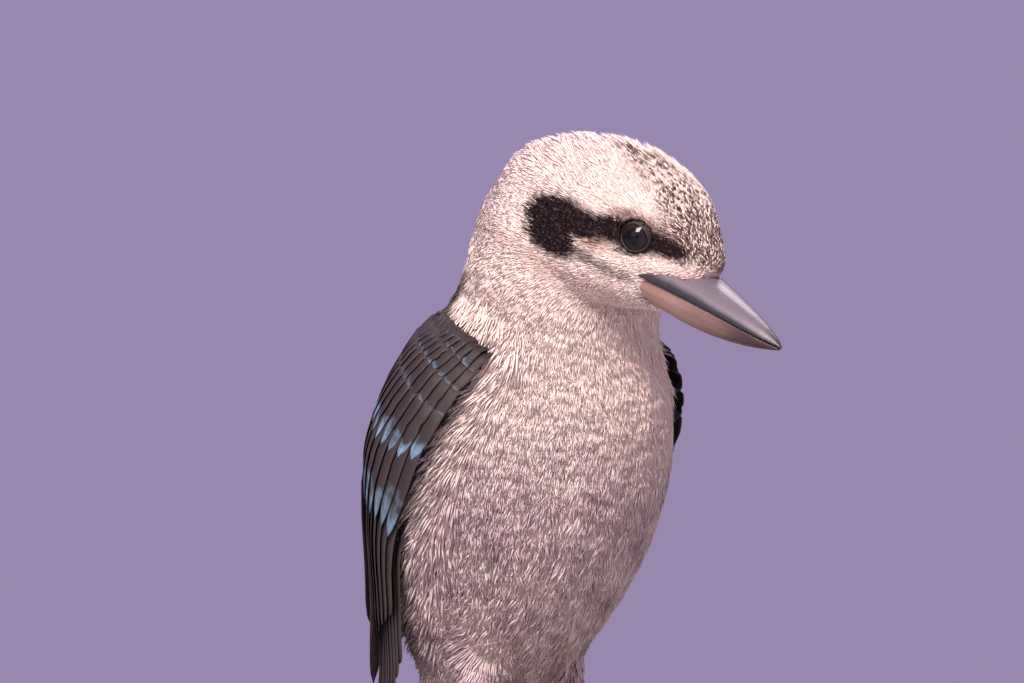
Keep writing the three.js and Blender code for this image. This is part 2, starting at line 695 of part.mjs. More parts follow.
// A place on the tail: along it, out to the left, and above its middle sheet
function tailPoint(along, left, rise) {
  return TAIL_ROOT.clone().addScaledVector(tailAlong, along).addScaledVector(tailBack, rise)
    .add(new V3(0, left, 0));
}

// The tail's feathers lie in pairs, each pair under the one nearer the middle, and the tail opens to its tip
function tailFeathers() {
  const pitch = VANE_THICK + VANE_GAP;
  return Array.from({ length: TAIL_FEATHERS }, (_, i) => {
    const side = i % 2 === 0 ? 1 : -1;
    const pair = Math.floor(i / 2);
    const layer = pair < TAIL_CROSSING ? i : TAIL_CROSSING + pair;
    const length = TAIL_LENGTH * (1 - TAIL_SHORTENING * pair ** 2);
    const [rootLeft, tipLeft] = [TAIL_FAN.root, TAIL_FAN.tip].map(([first, more]) => first + more * pair);
    return vane({
      centre: (share) => {
        const along = THREE.MathUtils.lerp(TAIL_BARE, length, share);
        const rise = TAIL_TOP - layer * pitch - TAIL_SWAY * Math.sin(share * Math.PI);
        return tailPoint(along, side * THREE.MathUtils.lerp(rootLeft, tipLeft, share), rise);
      },
      outward: () => tailBack,
      tilt: () => 0,
      halfWidth: TAIL_HALF_WIDTH,
      tipWidth: 0.6,
      camber: 0,
      rows: [0, 0.36, 0.88, 1],
    });
  });
}

function tail(bodyGrown) {
  const stem = limb(TAIL_STEM.places.map((along) => tailPoint(along, 0, -1)), TAIL_STEM.radii, 12, 6);
  return largest(unite([stem, ...tailFeathers()]).subtract(bodyGrown));
}

function stand(perchGrown) {
  const r = BASE_RADIUS;
  const c = BASE_CHAMFER;
  const profile = [
    [0, 0], [r - c / 2, 0], [r, c / 2], [r, BASE_THICK - c], [r - c, BASE_THICK], [0, BASE_THICK],
  ].map(([x, y]) => new THREE.Vector2(x, y));
  const disc = new THREE.LatheGeometry(profile, 48);
  disc.rotateX(Math.PI / 2);
  disc.translate(0, 0, -PERCH_TOP);
  const meshes = [meshOf("stand_base", solidOf(disc), MATERIALS.plinth)];
  const low = -PERCH_TOP + BASE_THICK + GAP;
  const height = perchCentre.z - low;
  for (const [name, side] of [["left", 1], ["right", -1]]) {
    const rod = new THREE.CylinderGeometry(ROD_RADIUS, ROD_RADIUS, height, 20);
    rod.rotateX(Math.PI / 2);
    rod.translate(0, side * ROD_SPREAD, low + height / 2);
    meshes.push(meshOf(`stand_rod_${name}`, largest(solidOf(rod).subtract(perchGrown)), MATERIALS.rod));
  }
  return meshes;
}

// The whole body is made in one and parted with thin cuts
const throat = headPoint(58, 0, -18);
const nape = headPoint(142, 0, -10);
const headPlane = new V3().crossVectors(headLeft, nape.clone().sub(throat)).normalize();
const HEAD_CUT = headPlane.dot(throat);
const torsoAndNeck = trunkOfBody();
const skull = headBlob();
const whole = wasm.Manifold.union([torsoAndNeck, skull]);
const bodyGrown = wasm.Manifold.union([trunkOfBody(GAP + 0.15), headBlob(GAP + 0.15)]);
const perchGrown = branch(GAP + 0.1);

const planeAsArray = [headPlane.x, headPlane.y, headPlane.z];
const upright = [0, 0, 1];
const headPart = whole.trimByPlane(planeAsArray, HEAD_CUT + NECK_PARTING / 2);
const belowHead = whole.trimByPlane(planeAsArray.map((x) => -x), -(HEAD_CUT - NECK_PARTING / 2));
const neckPart = largest(belowHead.trimByPlane(upright, NECK_CUT + NECK_PARTING / 2));
const torsoPart = largest(belowHead.trimByPlane([0, 0, -1], -(NECK_CUT - NECK_PARTING / 2)));

const eyes = [1, -1].map((side) => sphere(eyeCentre(side), EYE_RADIUS, 16, 10));
const eyesGrown = [1, -1].map((side) => sphere(eyeCentre(side), EYE_RADIUS + GAP + 0.1, 16, 10));
const mouthSlits = [1, -1].map(mouthSlit);
const headWithLids = wasm.Manifold.union([headPart, lids(1), lids(-1)]);
const headSolid = largest(
  wasm.Manifold.difference([headWithLids, ...eyesGrown, ...mouthSlits]),
);
const headForBill = wasm.Manifold.union([headBlob(GAP + 0.15), torsoAndNeck]);
const upperBill = largest(
  wasm.Manifold.difference([mandible(1), headForBill, nostril(1), nostril(-1)]),
);
const lowerBill = largest(mandible(-1).subtract(headForBill));

const bird = new THREE.Group();
bird.position.set(0, 0, PERCH_TOP);
bird.add(
  meshOf("head", headSolid, MATERIALS.cream),
  meshOf("bill_upper", upperBill, MATERIALS.billDark),
  meshOf("bill_lower", lowerBill, MATERIALS.billPale),
  meshOf("eye_left", eyes[0], MATERIALS.eye),
  meshOf("eye_right", eyes[1], MATERIALS.eye),
  meshOf("neck", neckPart, MATERIALS.cream),
  meshOf("torso", torsoPart, MATERIALS.cream),
  meshOf("tail", tail(bodyGrown), MATERIALS.tail),
);
for (const [name, side] of [["left", 1], ["right", -1]]) {
  bird.add(meshOf(`wing_${name}`, wing(side, bodyGrown), MATERIALS.wing));
  bird.add(meshOf(`leg_${name}`, featheredLeg(side, bodyGrown), MATERIALS.cream));
  bird.add(meshOf(`foot_${name}`, foot(side, perchGrown, bodyGrown), MATERIALS.foot));
}
bird.add(meshOf("perch", branch(), MATERIALS.branch));
bird.add(...stand(perchGrown));

const model = new THREE.Group();
model.add(bird);
export default model;
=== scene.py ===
# %% [markdown]
# # A laughing kookaburra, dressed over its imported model
# A museum's life-size kookaburra sits upright on a short cut branch, which a plain stand holds up.
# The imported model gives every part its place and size. This script gives the parts their surfaces.
# One smooth skin carries the body's small feathers, and wing and tail get their feathers one by one.

# %% Load the frame
import itertools
import math

import bpy
import numpy as np
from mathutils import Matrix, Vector, noise
from mathutils.bvhtree import BVHTree


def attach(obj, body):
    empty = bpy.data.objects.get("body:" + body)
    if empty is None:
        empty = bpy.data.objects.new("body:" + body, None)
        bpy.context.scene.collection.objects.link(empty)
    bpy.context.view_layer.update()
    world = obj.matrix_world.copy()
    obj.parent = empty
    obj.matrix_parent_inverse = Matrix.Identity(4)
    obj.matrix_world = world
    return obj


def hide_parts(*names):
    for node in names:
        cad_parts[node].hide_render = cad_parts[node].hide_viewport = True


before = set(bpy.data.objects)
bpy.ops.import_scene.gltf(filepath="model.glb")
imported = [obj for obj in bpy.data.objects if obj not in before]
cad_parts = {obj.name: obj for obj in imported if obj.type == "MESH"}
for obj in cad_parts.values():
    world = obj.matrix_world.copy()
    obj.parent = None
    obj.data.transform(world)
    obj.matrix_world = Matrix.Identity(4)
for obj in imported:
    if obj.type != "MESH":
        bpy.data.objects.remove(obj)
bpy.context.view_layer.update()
print("packed nodes:", ", ".join(sorted(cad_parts)))

# %% [markdown]
# Sizes are in millimetres from the top of the perch, as a taxidermist would take them, with X to the
# front and Y to the bird's left. One function turns them into the frame's metres.

# %% Measures that everything shares
MM = 0.001
PERCH_TOP = 152.0
PERCH_RADIUS = 19.0
SIDES = {"left": 1, "right": -1}
rng = np.random.default_rng(7)


def to_scene(points):
    """Turns millimetres from the top of the perch into the frame's metres."""
    return (np.asarray(points, float) + [0, 0, PERCH_TOP]) * MM


def to_bird(points):
    """Turns the frame's metres into millimetres from the top of the perch."""
    return np.asarray(points, float) / MM - [0, 0, PERCH_TOP]


def smooth_step(low, high, value):
    share = np.clip((value - low) / (high - low), 0, 1)
    return share * share * (3 - 2 * share)


def mix(start, end, share):
    return start + (end - start) * share


def unit(vectors):
    return vectors / np.maximum(np.linalg.norm(vectors, axis=-1, keepdims=True), 1e-9)


# %% [markdown]
# The camera comes first, because all later choices are judged through it. It looks level at the bird's
# right breast from in front, from far off with a long lens, so the near wing and the bill keep their
# true proportions. The frame cuts the bird off above its feet, as in the photograph.

# %% Camera
CAMERA_TURN = math.radians(50)
CAMERA_DISTANCE = 5.0
CAMERA_TARGET = Vector((-0.0025, -0.0030, 0.2958))
FRAME_WIDTH = 0.37926
SENSOR_WIDTH = 36.0

toward_camera = Vector((math.sin(CAMERA_TURN), -math.cos(CAMERA_TURN), 0))
camera_right = Vector((math.cos(CAMERA_TURN), math.sin(CAMERA_TURN), 0))
bpy.ops.object.camera_add(
    location=CAMERA_TARGET + toward_camera * CAMERA_DISTANCE,
    rotation=(-toward_camera).to_track_quat("-Z", "Y").to_euler(),
)
camera = bpy.context.object
camera.name = "camera"
camera.data.sensor_width = SENSOR_WIDTH
camera.data.lens = SENSOR_WIDTH * CAMERA_DISTANCE / FRAME_WIDTH
bpy.context.scene.camera = camera
print("camera lens:", round(camera.data.lens, 1), "mm")

# %% [markdown]
# Plain soft studio light: a strong lamp high on the camera's left, a weak wide one further left, and one
# behind the bird on the right, which brings out the raised feathers of the crown. They are faintly rose
# or lilac, like the photograph's light. The world is lilac: it fills the shadows and is the backdrop.
# The Standard view keeps pale feathers as bright as the photograph has them.

# %% Lights, world and floor
LAMPS = {
    "key": {"right": -0.45, "up": 1.3, "near": 1.5, "size": 0.7, "power": 70, "colour": (1.0, 0.90, 0.83)},
    "fill": {"right": -1.3, "up": 0.5, "near": 1.4, "size": 1.2, "power": 7, "colour": (0.90, 0.83, 1.0)},
    "rim": {"right": 0.5, "up": 1.5, "near": -1.3, "size": 0.6, "power": 16, "colour": (1.0, 0.90, 0.94)},
}
WORLD_LILAC = (0.42, 0.33, 0.56, 1)
WORLD_STRENGTH = 0.75
FLOOR_RADIUS = 3

bpy.context.scene.view_settings.view_transform = "Standard"
for name, lamp in LAMPS.items():
    place = CAMERA_TARGET + camera_right * lamp["right"] + toward_camera * lamp["near"]
    place.z += lamp["up"]
    aim = (CAMERA_TARGET - place).to_track_quat("-Z", "Y").to_euler()
    bpy.ops.object.light_add(type="AREA", radius=lamp["size"], location=place, rotation=aim)
    light = bpy.context.object
    light.name = f"lamp_{name}"
    light.data.energy = lamp["power"]
    light.data.color = lamp["colour"]

world = bpy.data.worlds.new("studio")
bpy.context.scene.world = world
world.use_nodes = True
backdrop = world.node_tree.nodes["Background"]
backdrop.inputs["Color"].default_value = WORLD_LILAC
backdrop.inputs["Strength"].default_value = WORLD_STRENGTH

bpy.ops.mesh.primitive_circle_add(vertices=96, radius=FLOOR_RADIUS, fill_type="NGON", location=(0, 0, 0))
floor = bpy.context.object
floor.name = "floor"

# %% [markdown]
# Materials are small node trees. A helper keeps each one short: it makes a material, and hands back
# the shader and functions that add a node and join it up.


# %% Helpers for materials
class Finish:
    """A material in the making: nodes are added by name and linked by their sockets."""

    def __init__(self, name, roughness=0.5, **sockets):
        self.material = bpy.data.materials.new(name)
        self.material.use_nodes = True
        self.tree = self.material.node_tree
        self.shader = self.tree.nodes["Principled BSDF"]
        self.set(self.shader, Roughness=roughness, **sockets)

    def join(self, socket, value):
        """Links a socket to another node's, or sets it to a number, a vector or a colour."""
        if isinstance(value, bpy.types.NodeSocket):
            self.tree.links.new(value, socket)
        elif socket.type == "RGBA" and len(value) == 3:
            socket.default_value = (*value, 1)
        else:
            socket.default_value = value

    def set(self, node, **sockets):
        for label, value in sockets.items():
            self.join(node.inputs[label.replace("_", " ")], value)

    def add(self, kind, props=None, **sockets):
        node = self.tree.nodes.new(f"ShaderNode{kind}")
        for label, value in (props or {}).items():
            setattr(node, label, value)
        self.set(node, **sockets)
        return node

    def attribute(self, name):
        return self.add("Attribute", {"attribute_name": name}).outputs

    def parts(self, name):
        """The three numbers of a vector that the mesh carries."""
        return self.add("SeparateXYZ", Vector=self.attribute(name)["Vector"]).outputs

    def place(self, scale=(1, 1, 1)):
        coordinates = self.add("TexCoord").outputs["Object"]
        return self.add("Mapping", Vector=coordinates, Scale=scale).outputs["Vector"]

    def noise(self, scale, detail=3, stretch=(1, 1, 1), vector=None):
        vector = vector or self.place(stretch)
        return self.add("TexNoise", Vector=vector, Scale=scale, Detail=detail).outputs["Fac"]

    def math(self, operation, *values, clamp=False):
        node = self.add("Math", {"operation": operation, "use_clamp": clamp})
        for socket, value in zip(node.inputs, values):
            self.join(socket, value)
        return node.outputs[0]

    def times(self, first, second, clamp=False):
        return self.math("MULTIPLY", first, second, clamp=clamp)

    def plus(self, first, second, clamp=False):
        return self.math("ADD", first, second, clamp=clamp)

    def minus(self, first, second):
        return self.math("SUBTRACT", first, second)

    def wave(self, value, pitch):
        """A sine wave that comes round once in every pitch."""
        return self.math("SINE", self.times(value, 2 * math.pi / pitch))

    def ramp(self, value, stops):
        node = self.add("ValToRGB", Fac=value)
        elements = node.color_ramp.elements
        while len(elements) < len(stops):
            elements.new(0.5)
        for element, (position, shade) in zip(elements, stops):
            element.position = position
            element.color = (*shade, 1)
        return node.outputs["Color"]

    def blend(self, share, first, second, mode="MIX"):
        node = self.add("Mix", {"data_type": "RGBA", "blend_type": mode})
        for index, value in ((0, share), (6, first), (7, second)):
            self.join(node.inputs[index], value)
        return node.outputs[2]

    def bump(self, height, strength, distance):
        node = self.add("Bump", Height=height, Strength=strength, Distance=distance * MM)
        self.set(self.shader, Normal=node.outputs["Normal"])

    def colour(self, value):
        self.set(self.shader, Base_Color=value)
        return self.material


def grey(value):
    return (value, value, value)


paper = Finish("studio_floor", roughness=0.9)
floor.data.materials.append(paper.colour(paper.ramp(paper.noise(9), [(0.3, grey(0.42)), (0.7, grey(0.46))])))

# %% [markdown]
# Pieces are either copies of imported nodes, reshaped, or new meshes. These helpers select one object
# alone, join copies of nodes, apply modifiers, and make a mesh from arrays of points and faces.


# %% Helpers for pieces
def only(*objects):
    bpy.ops.object.select_all(action="DESELECT")
    for item in objects:
        item.select_set(True)
    bpy.context.view_layer.objects.active = objects[0]


def edit_all(item, operator, **settings):
    """Runs one of Blender's edit operators on the whole of a piece."""
    only(item)
    bpy.ops.object.mode_set(mode="EDIT")
    bpy.ops.mesh.select_all(action="SELECT")
    operator(**settings)
    bpy.ops.object.mode_set(mode="OBJECT")


def turn_out(item):
    """Points a closed piece's faces outward."""
    edit_all(item, bpy.ops.mesh.normals_make_consistent, inside=False)


def copy_of(name, *nodes):
    """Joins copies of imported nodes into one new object, with their corners merged."""
    copies = []
    for node in nodes:
        twin = bpy.data.objects.new(name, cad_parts[node].data.copy())
        bpy.context.collection.objects.link(twin)
        copies.append(twin)
    only(*copies)
    if len(copies) > 1:
        bpy.ops.object.join()
    made = bpy.context.object
    made.name = name
    made.data.materials.clear()
    edit_all(made, bpy.ops.mesh.remove_doubles, threshold=1e-6)
    return made


def modify(item, kind, **settings):
    """Adds a modifier to a piece and applies it at once."""
    only(item)
    modifier = item.modifiers.new(kind.lower(), kind)
    for label, value in settings.items():
        setattr(modifier, label, value)
    bpy.ops.object.modifier_apply(modifier=modifier.name)


def refine(item, voxel, iterations):
    """Remeshes a piece finely and smooths it."""
    modify(item, "REMESH", mode="VOXEL", voxel_size=voxel * MM)
    modify(item, "SMOOTH", factor=0.5, iterations=iterations)


def shade_smooth(item):
    only(item)
    bpy.ops.object.shade_smooth()


def points_of(item):
    places = np.empty(len(item.data.vertices) * 3)
    item.data.vertices.foreach_get("co", places)
    return places.reshape(-1, 3)


def normals_of(item):
    normals = np.empty(len(item.data.vertices) * 3)
    item.data.vertices.foreach_get("normal", normals)
    return normals.reshape(-1, 3)


def move_points(item, places):
    item.data.vertices.foreach_set("co", np.asarray(places, float).ravel())
    item.data.update()


def mesh_from(name, places, faces):
    """Makes an object from points and a list of equal faces, quads or triangles."""
    mesh = bpy.data.meshes.new(name)
    faces = np.asarray(faces, np.int32)
    mesh.vertices.add(len(places))
    mesh.vertices.foreach_set("co", np.asarray(places, float).ravel())
    mesh.loops.add(faces.size)
    mesh.loops.foreach_set("vertex_index", faces.ravel())
    mesh.polygons.add(len(faces))
    mesh.polygons.foreach_set("loop_start", np.arange(len(faces), dtype=np.int32) * faces.shape[1])
    mesh.polygons.foreach_set("use_smooth", np.ones(len(faces), bool))
    mesh.update(calc_edges=True)
    made = bpy.data.objects.new(name, mesh)
    bpy.context.collection.objects.link(made)
    return made


def note(item, name, values):
    """Writes one number, or three, for each point of a piece, where its material reads them."""
    values = np.asarray(values, float)
    if values.ndim == 1:
        item.data.attributes.new(name, "FLOAT", "POINT").data.foreach_set("value", values)
    else:
        item.data.attributes.new(name, "FLOAT_VECTOR", "POINT").data.foreach_set("vector", values.ravel())


def finish_piece(item, material, nodes=()):
    item.data.materials.clear()
    item.data.materials.append(material)
    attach(item, "root")
    if nodes:
        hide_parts(*nodes)
    print(item.name, len(item.data.polygons), "faces")


# %% [markdown]
# The head has a frame of its own: how far back from the tip of the bill, out to the side, and up from
# the line of the mouth. Markings and the lie of the feathers are told in it, so they stay in place
# if the head is turned.

# %% The head's own frame
BILL_TIP = np.array([146.0, 0, 141])
HEAD_PITCH = math.radians(22.5)
HEAD_FORWARD = np.array([math.cos(HEAD_PITCH), 0, -math.sin(HEAD_PITCH)])
HEAD_UP = np.array([math.sin(HEAD_PITCH), 0, math.cos(HEAD_PITCH)])
EYE_BACK, EYE_OUT, EYE_UP = 74.5, 12.1, 13.9
EYE_RADIUS = 7.8
EYE_FORWARD = 0.32
THROAT = (58.0, -18.0)
NAPE = (142.0, -10.0)


def in_head(points):
    """Back from the bill's tip, out to the side and up from the mouth, for points of the bird."""
    away = points - BILL_TIP
    return -(away @ HEAD_FORWARD), away[:, 1], away @ HEAD_UP


def head_point(back, left, up):
    return BILL_TIP - HEAD_FORWARD * back + np.array([0, left, 0]) + HEAD_UP * up


def eye_centre(side):
    return head_point(EYE_BACK, side * EYE_OUT, EYE_UP)


def eye_facing(side):
    return unit(np.array([0, side, 0]) + HEAD_FORWARD * EYE_FORWARD)


def above_neck(points):
    """How far a point lies above the line where the head's feathers end, from throat to nape."""
    back, _, up = in_head(points)
    slope = (NAPE[1] - THROAT[1]) / (NAPE[0] - THROAT[0])
    return up - THROAT[1] - (back - THROAT[0]) * slope


# %% [markdown]
# The body's centre line and half depth by height tell front from back, for the markings.

# %% The torso's line
TORSO_HEIGHTS = [-7, 15, 43, 73, 105, 142, 171, 196, 212]
TORSO_MIDDLES = [-36, -21.5, -10, -3, 4.5, 13, 25, 33, 42]
TORSO_DEPTHS = [8, 23.5, 41.5, 52.5, 53.5, 42, 37.5, 35, 25]


def round_body(points):
    """From -1 at the middle of the back to 1 at the middle of the breast."""
    middle = np.interp(points[:, 2], TORSO_HEIGHTS, TORSO_MIDDLES)
    depth = np.interp(points[:, 2], TORSO_HEIGHTS, TORSO_DEPTHS)
    return np.clip((points[:, 0] - middle) / depth, -1, 1)


# %% [markdown]
# One description of the plumage serves the skin and every feather on it: a brown mask from the lores
# through the eye to the ear, a streaked crown, a pale line under the eye, thin dark lines over the eye
# and along the mouth, a brown mantle, and mottled flanks. It also holds painted shade: the bill's shadow on
# the chin and throat, grey-lilac shade that deepens down the lower body and is broken into the mottles, and
# a brownish shade line along the lower edge of the head's feathers. The nape greys toward the back. Each
# marking is a soft shape in the head's or the body's frame. A line is a row of round spots: how far back,
# how high, how wide.

# %% Markings
MASK_LINE = (
    [(55, 14.6, 3.4), (64, 15.0, 4.6), (72.5, 13.9, 7.4), (79, 14.2, 5.4), (85, 13.0, 4.8)]
    + [(90, 10.8, 7.6), (97, 7.6, 11.6), (103, 7.2, 10.8)]
)
PALE_LINE = (
    [(88, 5.5, 1.6), (80.7, 3.6, 2.0), (75, 2.6, 2.0)]
    + [(69.5, 4.6, 2.2), (62, 6.5, 2.4), (52, 7.5, 2.6)]
)
MOUTH_LINE = [(96, 0.5, 2.4), (87, 1.6, 2.2), (80, -0.4, 1.5), (71, -1.8, 1.1)]
EYE_LINE = [(83, 20.5, 0.8), (76.6, 21.4, 1.2), (68, 20.2, 1.3), (60, 17.5, 1.0)]
# The chin spot is painted shadow that the bill casts on the chin.
CHIN_SHADOW_SPOT = [(58, -5.5, 2.5), (64, -6.5, 3.0)]
CROWN_EDGE_BACK = [44, 55, 61, 66, 77, 92, 105, 116]
CROWN_EDGE_OUT = [30, 24, 15, 14, 13.5, 10, 6.5, 3]


def near_line(back, up, line):
    """How far outside a line of round spots each point is, in millimetres; below nought is inside."""
    nearest = np.full(len(back), 1e9)
    for (b0, u0, r0), (b1, u1, r1) in zip(line, line[1:]):
        reach = (b1 - b0) ** 2 + (u1 - u0) ** 2
        share = np.clip(((back - b0) * (b1 - b0) + (up - u0) * (u1 - u0)) / reach, 0, 1)
        gap = np.hypot(back - mix(b0, b1, share), up - mix(u0, u1, share)) - mix(r0, r1, share)
        nearest = np.minimum(nearest, gap)
    return nearest


def markings(points):
    """For points of the bird: the brown mask with the bill's painted shadow below it, crown streaks and
    mantle; then grey tone with painted shade, and a reddish tinge with a painted shade line.
    """
    back, left, up = in_head(points)
    out = np.abs(left)
    on_head = smooth_step(-6, 2, above_neck(points))
    mask = smooth_step(2.4, -2.4, near_line(back, up, MASK_LINE)) * on_head
    pale = smooth_step(1.4, -0.4, near_line(back, up, PALE_LINE)) * (out > 5)
    mask = mask * (1 - 0.9 * pale)
    # The bill's painted shadow on the chin, drawn in the mask's brown.
    chin_shadow = smooth_step(2.5, -1.5, near_line(back, up, CHIN_SHADOW_SPOT)) * on_head
    mouth_line = smooth_step(2.0, -1.2, near_line(back, up, MOUTH_LINE)) * on_head * (out > 5)
    eye_line = smooth_step(1.6, -1.2, near_line(back, up, EYE_LINE)) * on_head * (out > 5)
    mask = np.maximum.reduce([mask, 0.75 * chin_shadow, 0.7 * mouth_line, 0.6 * eye_line])
    edge = np.interp(back, CROWN_EDGE_BACK, CROWN_EDGE_OUT)
    crown = smooth_step(3.5, -3.5, out - edge) * smooth_step(9, 15, up) * smooth_step(120, 108, back)
    front = round_body(points)
    mantle = smooth_step(-0.3, -0.5, front) * smooth_step(174, 164, points[:, 2]) * (1 - on_head)
    mantle = mantle * smooth_step(34, 46, points[:, 2])
    # Grey-lilac painted shade that deepens down the lower body; the material breaks it into mottles.
    low = smooth_step(135, 70, points[:, 2]) * (1 - on_head)
    # The bill's painted shadow on the throat, in the grey of the painted shade.
    throat = smooth_step(75, 55, back) * smooth_step(-8, -16, up) * 0.6
    nape = smooth_step(126, 140, back) * on_head * 0.45
    dusk_and_shade = np.clip(np.maximum(np.maximum(0.75 * low, throat), nape), 0, 1)
    behind_eye = np.exp(-(((back - 84) / 5) ** 2) - ((up - 8) / 4) ** 2)
    over_eye = np.exp(-(((back - 72) / 9) ** 2) - ((up - 21.5) / 2.5) ** 2) * 0.7
    # A brownish painted shade line just above the lower edge of the head's feathers, where they lie over the
    # breast's.
    cheek_shade_line = smooth_step(6, 0, np.abs(above_neck(points) - 5)) * smooth_step(66, 76, back) * 0.35
    warm_and_shade = np.clip(behind_eye + over_eye + cheek_shade_line, 0, 1) * on_head
    return {"mask": mask, "crown": crown * on_head, "mantle": mantle, "dusk_and_shade": dusk_and_shade, "warm_and_shade": warm_and_shade}


# %% [markdown]
# The plumage's material reads those markings from the mesh. Two vectors carry them: one has mask (with
# the bill's painted shadow on the chin), streak and mantle; the other has grey tone with painted shade, a
# reddish tinge with a painted shade line, and the place along the feather. Toward its root a feather is
# darkened as painted shade deep in the coat. Fine noise breaks every edge, because barbs of both colours
# mix there.


# %% Plumage material
CREAM = (0.93, 0.79, 0.72)
# Deeper cream for random tone, also multiplied in as painted shade at the roots of the locks.
CREAM_DEEP = (0.80, 0.60, 0.55)
# Brown of the mask, also used for the bill's painted shadow on the chin.
MASK_BROWN = (0.016, 0.007, 0.009)
STREAK_BROWN = (0.045, 0.020, 0.020)
MANTLE_BROWN = (0.070, 0.040, 0.030)
# Grey-lilac for the painted shade down the lower body and under the bill, and for the greyed nape.
DUSK_AND_SHADE_GREY = (0.40, 0.30, 0.35)
# Reddish brown behind the eye, also used for the painted shade line along the lower edge of the head's
# feathers.
WARM_AND_SHADE_BROWN = (0.36, 0.19, 0.14)


def plumage_finish(name, bump):
    finish = Finish(name, roughness=0.9)
    finish.set(finish.shader, Specular_IOR_Level=0.08)
    dark, soft = finish.parts("dark"), finish.parts("soft")
    fine = finish.noise(900, detail=4)
    broad = finish.noise(60, detail=3)
    ground = finish.blend(finish.times(broad, 0.55), CREAM, CREAM_DEEP)
    # Patches break the painted shade and grey tone into mottles.
    patches = finish.times(finish.minus(finish.noise(85, detail=2), 0.38), 3.2, True)
    dusk_and_shade_share = finish.times(soft["X"], finish.plus(finish.times(patches, 0.7), 0.35), True)
    ground = finish.blend(dusk_and_shade_share, ground, DUSK_AND_SHADE_GREY)
    ground = finish.blend(finish.times(soft["Y"], 0.85), ground, WARM_AND_SHADE_BROWN)
    # Painted shade deep in the coat: the roots of the locks, and the skin under them, are darkened.
    depth = finish.times(finish.minus(1.0, soft["Z"]), 0.22)
    shade = finish.blend(depth, ground, CREAM_DEEP, "MULTIPLY")
    rough = finish.times(finish.minus(fine, 0.5), 0.35)
    for share, brown in ((dark["Y"], STREAK_BROWN), (dark["Z"], MANTLE_BROWN), (dark["X"], MASK_BROWN)):
        shade = finish.blend(finish.plus(share, finish.times(rough, share), True), shade, brown)
    if bump:
        finish.bump(finish.noise(700, detail=4), 0.5, 0.6)
    return finish.colour(shade)


feather_material = plumage_finish("body_plumage", bump=False)
skin_material = plumage_finish("under_plumage", bump=True)

# %% [markdown]
# How long the small feathers are decides how deep the coat is: a few millimetres at the bill, a
# centimetre on the crown, nearly two on the belly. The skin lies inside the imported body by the
# coat's depth, so that the tips of the feathers reach the body's true outline.


# %% Length and depth of the coat
def eye_distance(points):
    return np.minimum(*(np.linalg.norm(points - eye_centre(side), axis=1) for side in SIDES.values()))


def coat_length(points):
    back, _, up = in_head(points)
    on_head = smooth_step(-10, 3, above_neck(points))
    head = 3.6 + 4.4 * smooth_step(50, 96, back) + 2.2 * smooth_step(14, 34, up) * smooth_step(62, 100, back)
    head = head * mix(0.5, 1, smooth_step(8.5, 17, eye_distance(points)))
    body = 11 + 6 * smooth_step(120, 60, points[:, 2])
    body = body * mix(1, 0.6, smooth_step(34, 10, points[:, 2]) * (points[:, 0] > -22))
    return mix(body, head, on_head)


def coat_depth(points):
    return 0.3 + 0.14 * coat_length(points)


# %% [markdown]
# The skin could be sculpted anew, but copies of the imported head, neck, torso and thighs already have
# the right form. They are swollen until they touch, remeshed into one surface, smoothed, and then
# drawn in by the coat's depth.

# %% Skin
SWELL = 0.35
SKIN_VOXEL = 1.5
SOCKET_RADIUS = EYE_RADIUS + 0.25

skin = copy_of("skin", "head", "neck", "torso", "leg_left", "leg_right")
modify(skin, "DISPLACE", strength=SWELL * MM, mid_level=0)
refine(skin, SKIN_VOXEL, 12)
skin_places = to_bird(points_of(skin))
skin_places = skin_places - normals_of(skin) * (SWELL + coat_depth(skin_places))[:, None]
for side in SIDES.values():
    away = skin_places - eye_centre(side)
    distance = np.linalg.norm(away, axis=1)
    close = distance < SOCKET_RADIUS
    skin_places[close] = eye_centre(side) + away[close] / distance[close, None] * SOCKET_RADIUS
move_points(skin, to_scene(skin_places))
modify(skin, "SMOOTH", factor=0.5, iterations=3)
modify(skin, "TRIANGULATE")
edit_all(skin, bpy.ops.uv.smart_project, angle_limit=math.radians(66), island_margin=0.002)
skin.data.uv_layers[0].name = "OFBake"
shade_smooth(skin)


def note_markings(item, points, streak, along, repeat=1):
    """Writes the plumage's markings on a piece, where each of the places serves so many points."""
    marks = markings(points)
    dark = np.stack([marks["mask"], marks["crown"] * streak, marks["mantle"]], 1)
    soft = np.stack([marks["dusk_and_shade"], marks["warm_and_shade"], np.zeros(len(points))], 1)
    soft = np.repeat(soft, repeat, axis=0)
    soft[:, 2] = along
    note(item, "dark", np.repeat(dark, repeat, axis=0))
    note(item, "soft", soft)


# The skin reads as 0.3 along a lock, so it takes part of the roots' painted shade.
note_markings(skin, to_bird(points_of(skin)), 0.6, 0.3)
finish_piece(skin, skin_material, ("head", "neck", "torso", "leg_left", "leg_right"))

# %% [markdown]
# Feathers lie backward from the bill on the head, part round the eye, and run down the body toward the
# tail. The direction is told as a field in space, and each feather lays it along its own bit of skin.


